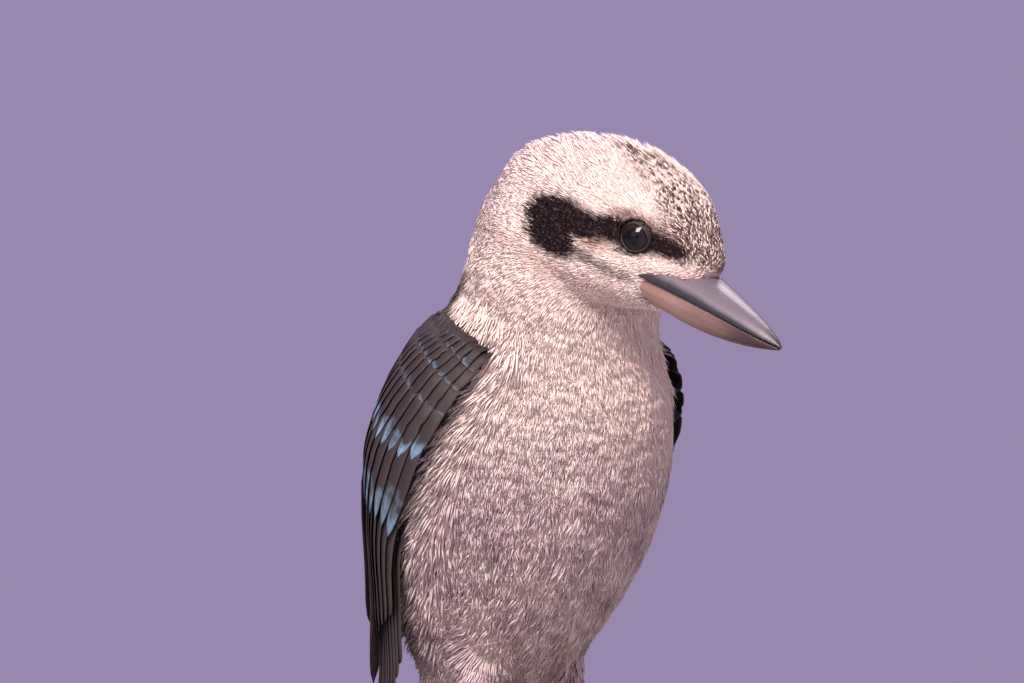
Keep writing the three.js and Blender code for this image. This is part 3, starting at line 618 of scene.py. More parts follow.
# %% The lie of the coat
def lie(points, normals):
    """The way that feathers point at each place, along the skin."""
    back, _, up = in_head(points)
    on_head = smooth_step(-24, 16, above_neck(points)) * smooth_step(150, 118, back)
    front = round_body(points)
    low = smooth_step(70, 10, points[:, 2])
    downward = np.zeros_like(points)
    downward[:, 0] = -0.25 - 0.8 * low
    downward[:, 2] = -1
    backward = np.tile(-HEAD_FORWARD, (len(points), 1))
    backward = backward - HEAD_UP * (smooth_step(6, -12, up) * 0.35)[:, None]
    backward = backward + HEAD_UP * (smooth_step(60, 49, back) * smooth_step(7, 13, up))[:, None]
    flow = mix(downward, backward, on_head[:, None])
    for side in SIDES.values():
        away = points - eye_centre(side)
        distance = np.linalg.norm(away, axis=1)[:, None]
        flow = flow + 0.9 * away / distance * np.exp(-(((distance - 7) / 6) ** 2))
    flow = flow - normals * np.sum(flow * normals, axis=1, keepdims=True)
    return unit(flow) * np.sign(1.01 + front)[:, None]


# %% [markdown]
# Roots are spread evenly and at random: many places are thrown on the skin, and one is kept only if no
# kept root is closer than the spacing that its region asks for. A grid of cells makes that quick.


# %% Roots of the coat
skin_faces = np.empty(len(skin.data.polygons) * 3, np.int32)
skin.data.polygons.foreach_get("vertices", skin_faces)
skin_faces = skin_faces.reshape(-1, 3)
skin_points = to_bird(points_of(skin))
skin_normals = normals_of(skin)
skin_uvs = np.empty(len(skin.data.loops) * 2)
skin.data.uv_layers["OFBake"].data.foreach_get("uv", skin_uvs)
skin_uvs = skin_uvs.reshape(-1, 3, 2)
skin_tree = BVHTree.FromPolygons(skin_points.tolist(), skin_faces.tolist())
CELL = 1.2
ROOT_TRIES = 150000


def root_spacing(points):
    return 0.5 + 0.115 * coat_length(points)


def spread_roots(tries):
    """Throws places on the skin and keeps those far enough from the kept ones."""
    corners = skin_points[skin_faces]
    areas = np.linalg.norm(np.cross(corners[:, 1] - corners[:, 0], corners[:, 2] - corners[:, 0]), axis=1)
    areas = areas / root_spacing(corners.mean(axis=1)) ** 2
    chosen = rng.choice(len(areas), tries, p=areas / areas.sum())
    shares = rng.dirichlet((1, 1, 1), tries)
    places = np.einsum("ij,ijk->ik", shares, corners[chosen])
    spacing = root_spacing(places)
    cells = np.floor(places / CELL).astype(int)
    kept = []
    grid = {}
    for index, (cell, place, gap) in enumerate(zip(cells.tolist(), places.tolist(), spacing.tolist())):
        reach = int(gap // CELL) + 1
        steps = itertools.product(range(-reach, reach + 1), repeat=3)
        around = ((cell[0] + dx, cell[1] + dy, cell[2] + dz) for dx, dy, dz in steps)
        if any(math.dist(place, other) < gap for spot in around for other in grid.get(spot, ())):
            continue
        grid.setdefault(tuple(cell), []).append(place)
        kept.append(index)
    kept = np.array(kept)
    normals = unit(np.einsum("ij,ijk->ik", shares[kept], skin_normals[skin_faces[chosen[kept]]]))
    uvs = np.einsum("ij,ijk->ik", shares[kept], skin_uvs[chosen[kept]])
    return places[kept], normals, uvs


roots, root_normals, root_uvs = spread_roots(ROOT_TRIES)
print("roots of the coat:", len(roots))

# %% [markdown]
# Each small feather is a tuft: a fan of thin, closed locks that share a root, as the barbs of a body
# feather do. A lock is a three-sided blade of ten triangles: a root, a middle that arches, and a tip.
# Roots sink into the skin. Middles and tips are found on the curved skin and lifted off it, so each
# feather bends with the body and covers the roots of those behind it. Only arrays are fast enough
# for a hundred thousand locks.

# %% Shapes of the locks
BLADE = np.array(
    [[0, 2, 1], [0, 1, 4], [0, 4, 3], [1, 2, 5], [1, 5, 4]]
    + [[2, 0, 3], [2, 3, 5], [3, 4, 6], [4, 5, 6], [5, 3, 6]]
)
ALONG_BLADE = [0, 0, 0, 0.55, 0.55, 0.55, 1.0]
CORNERS = len(ALONG_BLADE)
ROOT_SINK = 0.5
PATCH = 0.0015  # half the width of a tuft's patch on the unwrap


def on_skin(points):
    """The nearest places of the skin and its directions there."""
    places = np.empty_like(points)
    normals = np.empty_like(points)
    for index, point in enumerate(points):
        place, normal, _, _ = skin_tree.find_nearest(point)
        places[index] = place
        normals[index] = normal
    return places, normals


def fan_locks(base, count, length, width, raised):
    """Fans so many locks out of each root; returns their seven corners each and how they are marked."""
    place, normal, flow, uv = base
    tufts = len(place)
    middle, middle_normal = on_skin(place + flow * (0.5 * length)[:, None])
    tip, tip_normal = on_skin(place + flow * length[:, None])
    middle_flow = unit(tip - place)
    spread = (np.arange(count) + 0.5) / count * 2 - 1
    spread = spread[None, :] + rng.uniform(-0.5, 0.5, (tufts, count)) / count
    reach = 1 - 0.3 * spread**2 + rng.uniform(-0.3, 0.12, (tufts, count))
    across = unit(np.cross(normal, flow))[:, None, :]
    along = middle_flow[:, None, :]
    fan = (spread * width[:, None])[..., None]
    lift = (raised[:, None] * rng.uniform(0.45, 1.05, (tufts, count)))[..., None]
    root = place[:, None] + across * fan * 0.35 - normal[:, None] * ROOT_SINK
    bend = middle[:, None] + across * fan * 0.85 + middle_normal[:, None] * lift * 0.7
    end = tip[:, None] + across * fan * 1.15 + tip_normal[:, None] * lift
    end = end + along * ((reach - 1) * length[:, None])[..., None]
    half = (width / count * 0.85)[:, None, None] * rng.uniform(0.8, 1.2, (tufts, count))[..., None]
    side = unit(across + rng.uniform(-0.35, 0.35, (tufts, count))[..., None] * normal[:, None])
    corners = np.stack(
        [root - side * half * 0.7, root + side * half * 0.7, root + normal[:, None] * half * 0.5]
        + [bend - side * half, bend + side * half, bend + middle_normal[:, None] * half * 0.6, end],
        axis=2,
    )
    along_lock = np.tile(ALONG_BLADE, (tufts, count, 1))
    corner_uv = np.empty((tufts, count, CORNERS, 2))
    corner_uv[..., 0] = uv[:, None, None, 0] + spread[..., None] * PATCH
    corner_uv[..., 1] = uv[:, None, None, 1] + (along_lock * 2 - 1) * PATCH
    return corners, along_lock, spread, corner_uv


def lock_piece(name, locks):
    """Makes one piece of many locks, with its markings and its unwrap."""
    corners = locks["corners"].reshape(-1, CORNERS, 3)
    faces = (np.arange(len(corners))[:, None, None] * CORNERS + BLADE[None]).reshape(-1, 3)
    made = mesh_from(name, to_scene(corners.reshape(-1, 3)), faces)
    homes = locks["homes"].reshape(-1, 3)
    note_markings(made, homes, locks["streak"].ravel(), locks["along"].ravel(), CORNERS)
    layer = made.data.uv_layers.new(name="OFBake")
    layer.data.foreach_set("uv", locks["uvs"].reshape(-1, 2)[faces.ravel()].ravel())
    return made


# %% [markdown]
# The folded wing hangs over the body's side. Three guide lines give its surface: the front edge, the
# fullest line and the back edge. Every feather is a line on that surface, from its root to its tip.

# %% The folded wing's surface
def track(rows):
    """A smooth reading of rows of numbers: each row is a place and its values."""
    table = np.array(rows, float)
    last = len(table) - 1

    def read(place):
        place = np.clip(place, table[0, 0], table[last, 0])
        i = np.clip(np.searchsorted(table[:, 0], place, side="right") - 1, 0, last - 1)
        step = (table[i + 1, 0] - table[i, 0])[..., None]
        share = ((place - table[i, 0]) / step[..., 0])[..., None]
        before, after = table[np.maximum(i - 1, 0)], table[np.minimum(i + 2, last)]
        here, there = table[i, 1:], table[i + 1, 1:]
        slope_in = (there - before[..., 1:]) / (table[i + 1, 0] - before[..., 0])[..., None] * step
        slope_out = (after[..., 1:] - here) / (after[..., 0] - table[i, 0])[..., None] * step
        curve = 2 * share**3 - 3 * share**2
        return (
            (curve + 1) * here
            + (share**3 - 2 * share**2 + share) * slope_in
            - curve * there
            + (share**3 - share**2) * slope_out
        )

    return read


WING_FRONT = track(
    [[0, 30, 40, 140], [0.14, 22, 49.5, 121], [0.3, 10, 54.5, 97], [0.45, -7, 51, 69]]
    + [[0.6, -17, 43, 41], [0.75, -29, 33.5, 13], [0.88, -49, 27, -14], [1, -64, 22, -37]]
)
WING_FULL = track(
    [[0, 18, 40, 148], [0.14, -1, 46.5, 133], [0.3, -22, 47.5, 108], [0.45, -33, 41.5, 81]]
    + [[0.6, -40.5, 33.5, 52], [0.75, -49, 26, 22], [0.88, -60, 21.5, -8], [1, -68, 19, -36]]
)
WING_BACK = track(
    [[0, -4, 33, 152], [0.14, -25, 25, 141], [0.3, -42, 18, 120], [0.45, -53, 14, 94]]
    + [[0.6, -59, 11.5, 64], [0.75, -65, 11, 30], [0.88, -70, 12, -4], [1, -73, 15, -35]]
)
WING_CURVE = 45.0


def wing_point(side, share, across):
    front, full, back = WING_FRONT(share), WING_FULL(share), WING_BACK(share)
    control = 2 * full - (front + back) / 2
    t = across[..., None]
    point = (1 - t) ** 2 * front + 2 * t * (1 - t) * control + t**2 * back
    return point * [1, side, 1]


def wing_outward(side, share, across):
    low, left = np.clip(share - 0.02, 0, 0.96), np.clip(across - 0.05, 0, 0.9)
    along = wing_point(side, low + 0.04, across) - wing_point(side, low, across)
    over = wing_point(side, share, left + 0.1) - wing_point(side, share, left)
    return unit(np.cross(along, over) * side)


# %% [markdown]
# Head feathers are fine and many, those of the belly are long and loose. The count of locks in a tuft
# grows with the feather's width. Crown feathers carry their dark streak on the middle locks only, so
# their edges stay cream, and they stand up a little more toward the hind crown. Tufts beside a folded
# wing and above it are longer and raised, because there the body's feathers lie over the wing's edge.

# %% Coat
LOCKS_A_PIECE = 19000
COAT_SORTS = {"face": (0, 6, 5), "head": (6, 10.6, 9), "body": (10.6, math.inf, 12)}
WING_OVERLAP = 17.0


def from_wing(points, shares, across):
    """How far each point lies from a line of places on either folded wing."""
    lines = [wing_point(side, shares, across) for side in SIDES.values()]
    return np.minimum(*(np.linalg.norm(points[:, None] - line, axis=2).min(axis=1) for line in lines))


def beside_wing(points):
    """How close a point lies to the front edge of a folded wing, from 0 to 1."""
    gap = from_wing(points, np.linspace(0.02, 0.62, 25), np.zeros(25))
    return smooth_step(WING_OVERLAP, 5, gap) * smooth_step(-0.45, -0.1, round_body(points))


def above_wing(points):
    """How close a point lies to the top of a folded wing, from 0 to 1."""
    gap = from_wing(points, np.full(12, 0.01), np.linspace(0, 1, 12))
    return smooth_step(WING_OVERLAP + 3, 6, gap) * smooth_step(132, 144, points[:, 2])


def tuft_group(chosen, count):
    place, normal, uv = roots[chosen], root_normals[chosen], root_uvs[chosen]
    length = coat_length(place) * rng.uniform(0.85, 1.15, len(place))
    back, _, up = in_head(place)
    hind = smooth_step(70, 112, back) * smooth_step(14, 26, up)
    spiky = hind * (rng.uniform(0, 1, len(place)) < 0.3)
    over_wing = beside_wing(place)
    over_shoulder = above_wing(place)
    length = length * (1 + 0.35 * over_wing + 0.7 * over_shoulder)
    raised = coat_depth(place) * (1 + 0.35 * hind * rng.uniform(0, 1, len(place)) + 1.1 * spiky)
    raised = raised + np.maximum(over_wing, over_shoulder) * rng.uniform(2.5, 6.0, len(place))
    toward_back = np.tile([-1.0, 0, 0], (len(place), 1))
    flow = lie(place, normal)
    flow = unit(flow + over_wing[:, None] * 0.75 * toward_back)
    flow = unit(flow - normal * np.sum(flow * normal, axis=1, keepdims=True))
    sway = rng.normal(0, 0.13, len(place))[:, None]
    flow = unit(flow + np.cross(normal, flow) * sway)
    width = 0.34 * length + 0.25
    corners, along, spread, uvs = fan_locks((place, normal, flow, uv), count, length, width, raised)
    front = smooth_step(72, 54, back)[:, None]
    streak = np.where(np.abs(spread) < 0.5 + 0.25 * front, 1.0, 0.1) * rng.uniform(0.8, 1, spread.shape)
    blotch = rng.uniform(0, 1, len(place))[:, None]
    streak = np.where(blotch > 0.3 - 0.28 * front, streak, 0.08)
    drift = rng.normal(0, 1, (len(place), count, 1)) * flow[:, None] * 1.3
    homes = corners[:, :, 4] + drift + rng.normal(0, 0.35, (len(place), 1, 3))
    return {"corners": corners, "along": along, "streak": streak, "homes": homes, "uvs": uvs}


def coat_pieces(label, chosen, count):
    """Splits tufts of one size over as many pieces as the limit on triangles asks for."""
    number = math.ceil(len(chosen) * count / LOCKS_A_PIECE)
    for index, part in enumerate(np.array_split(chosen, number)):
        piece = lock_piece(f"coat_{label}_{index + 1}", tuft_group(part, count))
        finish_piece(piece, feather_material)


lengths = coat_length(roots)
for label, (shortest, longest, count) in COAT_SORTS.items():
    coat_pieces(label, np.flatnonzero((lengths >= shortest) & (lengths < longest)), count)

# %% [markdown]
# Wing and tail feathers are vanes: thin closed sheets with a raised shaft down the middle, a rounded
# tip, and edges where the barbs have parted a little. One function makes a vane from its centre line,
# its way out and its tilt. Another turns a batch of them into one piece.

# %% Vanes
VANE_THICK = 0.32


def sheet_faces(rows, columns):
    """Quads of a closed thin sheet whose outer grid comes first and whose inner grid follows."""
    at = np.arange(rows * columns).reshape(rows, columns)
    outer = np.stack([at[:-1, :-1], at[:-1, 1:], at[1:, 1:], at[1:, :-1]], axis=-1).reshape(-1, 4)
    under = rows * columns
    rim = np.concatenate([at[0, :-1], at[:-1, -1], at[-1, :0:-1], at[:0:-1, 0]])
    next_on_rim = np.roll(rim, -1)
    sides = np.stack([next_on_rim, rim, rim + under, next_on_rim + under], axis=-1)
    return np.concatenate([outer, outer[:, ::-1] + under, sides])


def turn_about(vectors, axes, angles):
    """Turns each vector about its own axis."""
    cosine, sine = np.cos(angles)[:, None], np.sin(angles)[:, None]
    lift = np.sum(axes * vectors, axis=1, keepdims=True) * (1 - cosine)
    return vectors * cosine + np.cross(axes, vectors) * sine + axes * lift


def vane(line, outward, tilt, half_width, rows=18, columns=7, round_from=0.85, lead=0.0, ragged=0.15):
    """One feather's outer and inner grid. lead shifts the shaft toward the edge that is raised."""
    share = 1 - (1 - np.linspace(0, 1, rows)) ** 1.25
    here = line(share)
    ahead = unit(line(np.minimum(share + 0.02, 1)) - line(np.maximum(share - 0.02, 0)))
    out = outward(share)
    out = unit(out - ahead * np.sum(out * ahead, axis=1, keepdims=True))
    across = turn_about(np.cross(out, ahead), ahead, tilt(share))
    face = np.cross(ahead, across)
    grow = np.minimum(1, 0.4 + 1.7 * share)
    closing = np.clip((share - round_from) / (1 - round_from), 0, 1)
    half = half_width * grow * np.sqrt(np.maximum(1 - closing**2.2, 0.012))
    place = np.linspace(-1, 1, columns)
    spread = place + lead * (1 - place**2)
    nicks = np.where(rng.uniform(0, 1, (rows, 2)) < 0.2, rng.uniform(0.3, 1, (rows, 2)), 0) * ragged
    offset = spread[None, :] * half[:, None]
    offset[:, 0] *= 1 - nicks[:, 0]
    offset[:, -1] *= 1 - nicks[:, 1]
    rise = (1 - place[None, :] ** 2) * half[:, None] * 0.1
    rise = rise + np.where(np.abs(place) < 0.01, 0.22, 0) * (1 - share[:, None])
    set_back = (np.abs(place[None, :]) ** 2) * 0.2 * half_width * closing[:, None]
    outer = here[:, None] + across[:, None] * offset[..., None] + face[:, None] * rise[..., None]
    outer = outer - ahead[:, None] * set_back[..., None]
    thick = VANE_THICK * (1 - 0.5 * np.abs(place))[None, :, None]
    inner = outer - face[:, None] * thick
    length = np.linalg.norm(np.diff(here, axis=0), axis=1).sum()
    facts = np.stack(np.broadcast_arrays(place[None, :], share[:, None], length), axis=-1)
    return outer, inner, facts


def vane_piece(name, vanes, tints):
    """Joins vanes into one piece. Each has its own rectangle of the unwrap."""
    places, faces, facts, colours, uvs = [], [], [], [], []
    start = 0
    side = math.ceil(math.sqrt(len(vanes)))
    for index, ((outer, inner, told), tint) in enumerate(zip(vanes, tints)):
        rows, columns = outer.shape[:2]
        places += [outer.reshape(-1, 3), inner.reshape(-1, 3)]
        faces.append(sheet_faces(rows, columns) + start)
        start += 2 * rows * columns
        facts += [told.reshape(-1, 3)] * 2
        colours.append(np.tile(np.array(tint, float), (2 * rows * columns, 1)))
        u, v = told[..., 0].ravel() * 0.5 + 0.5, told[..., 1].ravel()
        corner = np.array([index % side, index // side]) / side
        for layer in (0, 1):
            spot = np.stack([(u * 0.44 + 0.03 + 0.5 * layer), v * 0.94 + 0.03], axis=1)
            uvs.append(corner + spot / side)
    faces = np.concatenate(faces)
    made = mesh_from(name, to_scene(np.concatenate(places)), faces)
    note(made, "vane", np.concatenate(facts))
    note(made, "tint", np.concatenate(colours))
    layer = made.data.uv_layers.new(name="OFBake")
    layer.data.foreach_set("uv", np.concatenate(uvs)[faces.ravel()].ravel())
    turn_out(made)
    return made


# %% [markdown]
# A wing feather is dark brown, darkened further by painted shadow, with a darker shaft. Fine barbs run out
# from the shaft toward the tip, as bump and as faint streaks. Coverts end in pale azure, which the
# kookaburra's shoulder shows. The tail is rufous with blackish bars and white tips.

# %% Materials of the vanes
# Both browns are darker than the feathers' own brown: painted shadow over the whole wing.
SHADOWED_WING_BROWN = (0.014, 0.008, 0.009)
SHADOWED_WING_EDGE = (0.055, 0.034, 0.032)
AZURE = (0.22, 0.36, 0.50)
TAIL_RUFOUS = (0.33, 0.125, 0.055)
TAIL_DARK = (0.035, 0.018, 0.016)
TAIL_WHITE = (0.80, 0.74, 0.69)
BARB_PITCH = 0.55
TAIL_BAR_PITCH = 15


def vane_start(name):
    """The part that both kinds of vane share: barbs, and the places along and across."""
    finish = Finish(name, roughness=0.6)
    facts = finish.parts("vane")
    across = finish.math("ABSOLUTE", facts["X"])
    along = finish.times(facts["Y"], facts["Z"])
    slant = finish.minus(along, finish.times(across, 6.0))
    slant = finish.plus(slant, finish.times(finish.noise(260), 1.5))
    barbs = finish.math("MULTIPLY_ADD", finish.wave(slant, BARB_PITCH), 0.5, 0.5)
    finish.bump(barbs, 0.35, 0.25)
    return finish, facts, across, along, barbs


def wing_finish():
    finish, facts, across, _, barbs = vane_start("wing_vanes")
    tint = finish.parts("tint")
    patchy = finish.noise(160, detail=3)
    edge = finish.math("POWER", across, 4.0)
    shade = finish.blend(finish.times(edge, 0.55), SHADOWED_WING_BROWN, SHADOWED_WING_EDGE)
    shade = finish.blend(finish.times(barbs, 0.25), shade, SHADOWED_WING_EDGE)
    shade = finish.blend(finish.times(tint["Z"], 0.4), shade, SHADOWED_WING_EDGE)
    tip = finish.plus(facts["Y"], finish.times(finish.minus(patchy, 0.5), 0.5))
    tip = finish.times(finish.minus(tip, 0.72), 6.0, True)
    shade = finish.blend(finish.times(tip, tint["X"], True), shade, AZURE)
    shaft = finish.math("LESS_THAN", across, 0.07)
    shade = finish.blend(finish.times(shaft, 0.7), shade, TAIL_DARK)
    return finish.colour(shade)


def tail_finish():
    finish, facts, across, along, barbs = vane_start("tail_vanes")
    tint = finish.parts("tint")
    wobble = finish.times(finish.noise(120), 5.0)
    bars = finish.plus(finish.plus(along, wobble), finish.times(across, -3.0))
    bars = finish.times(finish.plus(finish.wave(bars, TAIL_BAR_PITCH), -0.1), 5.0, True)
    shade = finish.blend(finish.times(barbs, 0.2), TAIL_RUFOUS, TAIL_DARK)
    pale = finish.times(tint["X"], finish.math("POWER", across, 2.0))
    shade = finish.blend(pale, shade, TAIL_WHITE)
    shade = finish.blend(bars, shade, TAIL_DARK)
    left = finish.minus(facts["Z"], along)
    tip = finish.times(finish.minus(finish.plus(wobble, 9.0), left), 0.6, True)
    shade = finish.blend(tip, shade, TAIL_WHITE)
    return finish.colour(shade)


wing_material = wing_finish()
tail_material = tail_finish()


# %% [markdown]
# From the wing's tip up: primaries, secondaries, tertials, then coverts in rows that get smaller
# toward the shoulder. Each tier's roots and tips run between two places, so a short table holds them.

# %% Wing feathers
# Each tier: its count, its roots and its tips in front and behind, its half widths there, and its lift.
TIERS = {
    "primaries": (10, [(0.36, 0.06), (0.4, 0.6)], [(0.7, 0.08), (1, 0.6)], (5.2, 6), 0.6),
    "secondaries": (11, [(0.28, 0.08), (0.26, 0.8)], [(0.6, 0.1), (0.8, 0.84)], (6, 7), 3.2),
    "tertials": (4, [(0.24, 0.62), (0.2, 0.94)], [(0.7, 0.78), (0.6, 0.97)], (8, 8), 5.2),
    "greater_coverts": (12, [(0.17, 0.07), (0.15, 0.92)], [(0.43, 0.05), (0.4, 0.95)], (6, 6), 5.6),
    "median_coverts": (12, [(0.12, 0.05), (0.09, 0.94)], [(0.29, 0.04), (0.27, 0.96)], (5.5, 5.5), 6.4),
    "lesser_coverts_low": (12, [(0.08, 0.04), (0.05, 0.95)], [(0.2, 0.03), (0.18, 0.97)], (4.8, 4.8), 6.4),
    "lesser_coverts_high": (12, [(0.04, 0.04), (0.02, 0.95)], [(0.13, 0.03), (0.11, 0.97)], (4.6, 4.6), 6.0),
    "shoulder_coverts": (11, [(0.0, 0.05), (0.0, 0.93)], [(0.075, 0.04), (0.06, 0.96)], (4.4, 4.4), 5.0),
}
AZURE_TIPS = {"greater_coverts": 0.75, "median_coverts": 1.0}
AZURE_ELSEWHERE = 0.6
ROUND_LIFT = 5.4  # tiers that lie higher than this have short round feathers
ROOT_SUNK = 2.0
PITCH = 0.75
MOST_TILT = 0.5


def tier_vanes(side, tier, jitter):
    """The feathers of one tier, in order from the wing's front edge to its back."""
    count, root, tip, halves, lift = tier
    short = lift > ROUND_LIFT
    root, tip = np.array(root), np.array(tip)
    shape = dict(rows=12, round_from=0.45, lead=0.0, ragged=0.22)
    if not short:
        shape = dict(rows=22, round_from=0.86, lead=0.25 * side, ragged=0.1)

    def line_of(order, sway=0.0):
        start = mix(root[0], root[1], order)
        end = mix(tip[0], tip[1], order) + [sway, sway * 0.6]

        def place(share):
            spot = start + (end - start) * np.asarray(share)[..., None]
            return np.clip(spot[..., 0], 0, 1), np.clip(spot[..., 1], 0, 1)

        def line(share):
            rise = mix(-ROOT_SUNK, lift, smooth_step(-0.05, 0.35, np.asarray(share)))
            return wing_point(side, *place(share)) + wing_outward(side, *place(share)) * rise[..., None]

        return line, lambda share: wing_outward(side, *place(share))

    made = []
    apart_by = 1 / (count - 1)
    for index in range(count):
        order = index * apart_by
        line, outward = line_of(order, rng.normal(0, jitter))
        beside, _ = line_of(order + apart_by if index + 1 < count else order - apart_by)
        half = mix(*halves, order)

        def tilt(share, line=line, beside=beside, half=half):
            apart = np.linalg.norm(line(share) - beside(share), axis=1)
            bend = np.maximum(0, half - apart / 2) / WING_CURVE
            return -side * np.minimum(MOST_TILT, np.arctan(PITCH / np.maximum(apart, 0.5)) + bend)

        made.append(vane(line, outward, tilt, half, **shape))
    return made


def wing_shell(side):
    """The wing's flesh under its feathers, from the covert rows in to the body."""
    rows, columns = 26, 18
    share = np.linspace(0, 1, rows)[:, None] * np.ones(columns)
    across = np.ones(rows)[:, None] * np.linspace(0, 1, columns)
    along = share * 0.5
    outward = wing_outward(side, along, across)
    rise = 3.4 * np.sin(np.pi * np.minimum(1, share * 1.1 + 0.12)) * (1 - (2 * across - 1) ** 4) - 1.6 * share
    rise = rise - 3.5 * smooth_step(0.16, 0, along)
    outer = wing_point(side, along, across) + outward * rise[..., None]
    inner = outer - outward * mix(24, 5, share**0.7)[..., None]
    facts = np.stack([across * 2 - 1, share * 0, np.full_like(share, 60)], axis=-1)
    return outer, inner, facts


for name, side in SIDES.items():
    flight, coverts, flight_tints, covert_tints = [], [], [], []
    for tier_name, tier in TIERS.items():
        made = tier_vanes(side, tier, 0.004 if "coverts" in tier_name else 0.002)
        azure = AZURE_TIPS.get(tier_name, AZURE_ELSEWHERE) * ("covert" in tier_name)
        tints = [(azure * rng.uniform(0.6, 1), 0, rng.uniform(0, 1)) for _ in made]
        if "covert" in tier_name:
            coverts, covert_tints = coverts + made, covert_tints + tints
        else:
            flight, flight_tints = flight + made, flight_tints + tints
    shell = vane_piece(f"wing_{name}_shell", [wing_shell(side)], [(0, 0, 0)])
    finish_piece(shell, wing_material, (f"wing_{name}",))
    finish_piece(vane_piece(f"wing_{name}_flight", flight, flight_tints), wing_material)
    finish_piece(vane_piece(f"wing_{name}_coverts", coverts, covert_tints), wing_material)

# %% [markdown]
# Twelve tail feathers lie in pairs. The middle pair is on top, each outer pair lies under the one
# before, and all spread a little toward the tip. The outer ones show more white.

# %% Tail
TAIL_ROOT = np.array([-36.0, 0, 34])
TAIL_SLOPE = math.radians(70)
TAIL_LENGTH = 148.0
TAIL_BARE = 20.0
TAIL_HALF_WIDTH = 9.8
TAIL_FEATHERS = 12
TAIL_ALONG = np.array([-math.cos(TAIL_SLOPE), 0, -math.sin(TAIL_SLOPE)])
TAIL_OVER = np.array([-math.sin(TAIL_SLOPE), 0, math.cos(TAIL_SLOPE)])


def tail_vane(index):
    side = 1 if index % 2 == 0 else -1
    pair = index // 2
    layer = index if pair < 3 else 3 + pair
    length = TAIL_LENGTH * (1 - 0.006 * pair**2)

    def line(share):
        share = np.asarray(share)
        left = side * mix(1 + 1.1 * pair, 2.2 + 2.75 * pair, share)
        rise = 3.4 - layer * 0.95 - 2.5 * np.sin(share * np.pi)
        along = mix(TAIL_BARE, length, share)
        sideways = left[..., None] * [0, 1, 0]
        return TAIL_ROOT + along[..., None] * TAIL_ALONG + sideways + rise[..., None] * TAIL_OVER

    return vane(
        line,
        lambda share: np.tile(TAIL_OVER, (len(share), 1)),
        lambda share: np.zeros(len(share)),
        TAIL_HALF_WIDTH,
        rows=34,
        columns=9,
        round_from=0.9,
        lead=0.3 * side if pair else 0.0,
        ragged=0.08,
    )


tail_vanes = [tail_vane(index) for index in range(TAIL_FEATHERS)]
tail_tints = [(0.12 * (index // 2), 0, rng.uniform(0, 1)) for index in range(TAIL_FEATHERS)]
finish_piece(vane_piece("tail_feathers", tail_vanes, tail_tints), tail_material, ("tail",))

# %% [markdown]
# The bill is horn: hard, smooth, a little scratched. A loft could be made afresh, but the imported bill is
# right in form and only coarse, so each half is remeshed finely and smoothed. The upper half is black, with
# a pale grey band painted along its flank as a highlight; the lower half is pale horn that darkens toward
# its tip.

# %% Bill
BILL_VOXEL = 0.42
BILL_LENGTH = 76.0
# By the distance back from the tip: the heights of ridge, mouth and keel, and the half width.
BILL_TRACK = track(
    [[0, 0.5, -0.2, -0.8, 0.5], [8, 3.8, 0, -3.5, 3.6], [26, 7.2, 0.7, -8.1, 8.2]]
    + [[46, 9.6, 1.1, -10.6, 12.3], [60, 11, 1, -10.8, 15.2], [76, 11.5, 0.8, -9.8, 19]]
)
# For the upper half the pale grey is a painted highlight along its flank; its own colour is the dark one.
BILL_HALVES = {
    "upper": ("dark", (0.016, 0.012, 0.020), (0.150, 0.120, 0.145), (0.0, 0.15), (0.26, 0.46)),
    "lower": ("pale", (0.045, 0.018, 0.022), (0.33, 0.20, 0.165), (0.16, 0.62), (0.02, 0.30)),
}


def horn(name, dark, pale, dark_from, edge_from):
    """Horn that darkens toward the tip, and toward the cutting edge or the keel.
    On the upper half the pale tone away from the cutting edge is a painted highlight.
    """
    finish = Finish(f"{name}_horn", roughness=0.42)
    finish.set(finish.shader, Specular_IOR_Level=0.55)
    grain = finish.noise(140, detail=6, stretch=(0.35, 1, 0.6))
    mottle = finish.times(finish.minus(grain, 0.5), 0.5)
    from_tip = finish.plus(finish.attribute("from_tip")["Fac"], mottle)
    toward_tip = finish.ramp(from_tip, [(dark_from[0], dark), (dark_from[1], pale)])
    from_edge = finish.plus(finish.attribute("from_edge")["Fac"], finish.times(mottle, 0.5))
    inside = finish.ramp(from_edge, [(edge_from[0], grey(0)), (edge_from[1], grey(1))])
    shade = finish.blend(inside, dark, toward_tip)
    shade = finish.blend(finish.times(grain, 0.25), shade, dark)
    finish.bump(finish.noise(500, detail=6, stretch=(0.4, 1, 1)), 0.35, 0.25)
    return finish.colour(shade)


for half, (name, *tones) in BILL_HALVES.items():
    bill = copy_of(f"bill_{half}_horn", f"bill_{half}")
    refine(bill, BILL_VOXEL, 10)
    back, left, up = in_head(to_bird(points_of(bill)))
    ridge, mouth, keel, width = BILL_TRACK(back).T
    if half == "upper":
        # On the upper half the painted highlight covers the flank above the dark band at the cutting edge.
        from_edge = np.clip((up - mouth) / (ridge - mouth), 0, 1)
    else:
        from_edge = np.clip((up - keel) / (mouth - keel), 0, 1) + 0.3 * np.clip(np.abs(left) / width, 0, 1)
    note(bill, "from_tip", back / BILL_LENGTH)
    note(bill, "from_edge", from_edge)
    shade_smooth(bill)
    finish_piece(bill, horn(name, *tones), (f"bill_{half}",))

# %% [markdown]
# The eye is a dark wet ball: a black pupil in a deep brown iris under a clear, slightly raised cornea.
# Two rings of wrinkled bare skin, the lids, close on it and leave an almond opening.

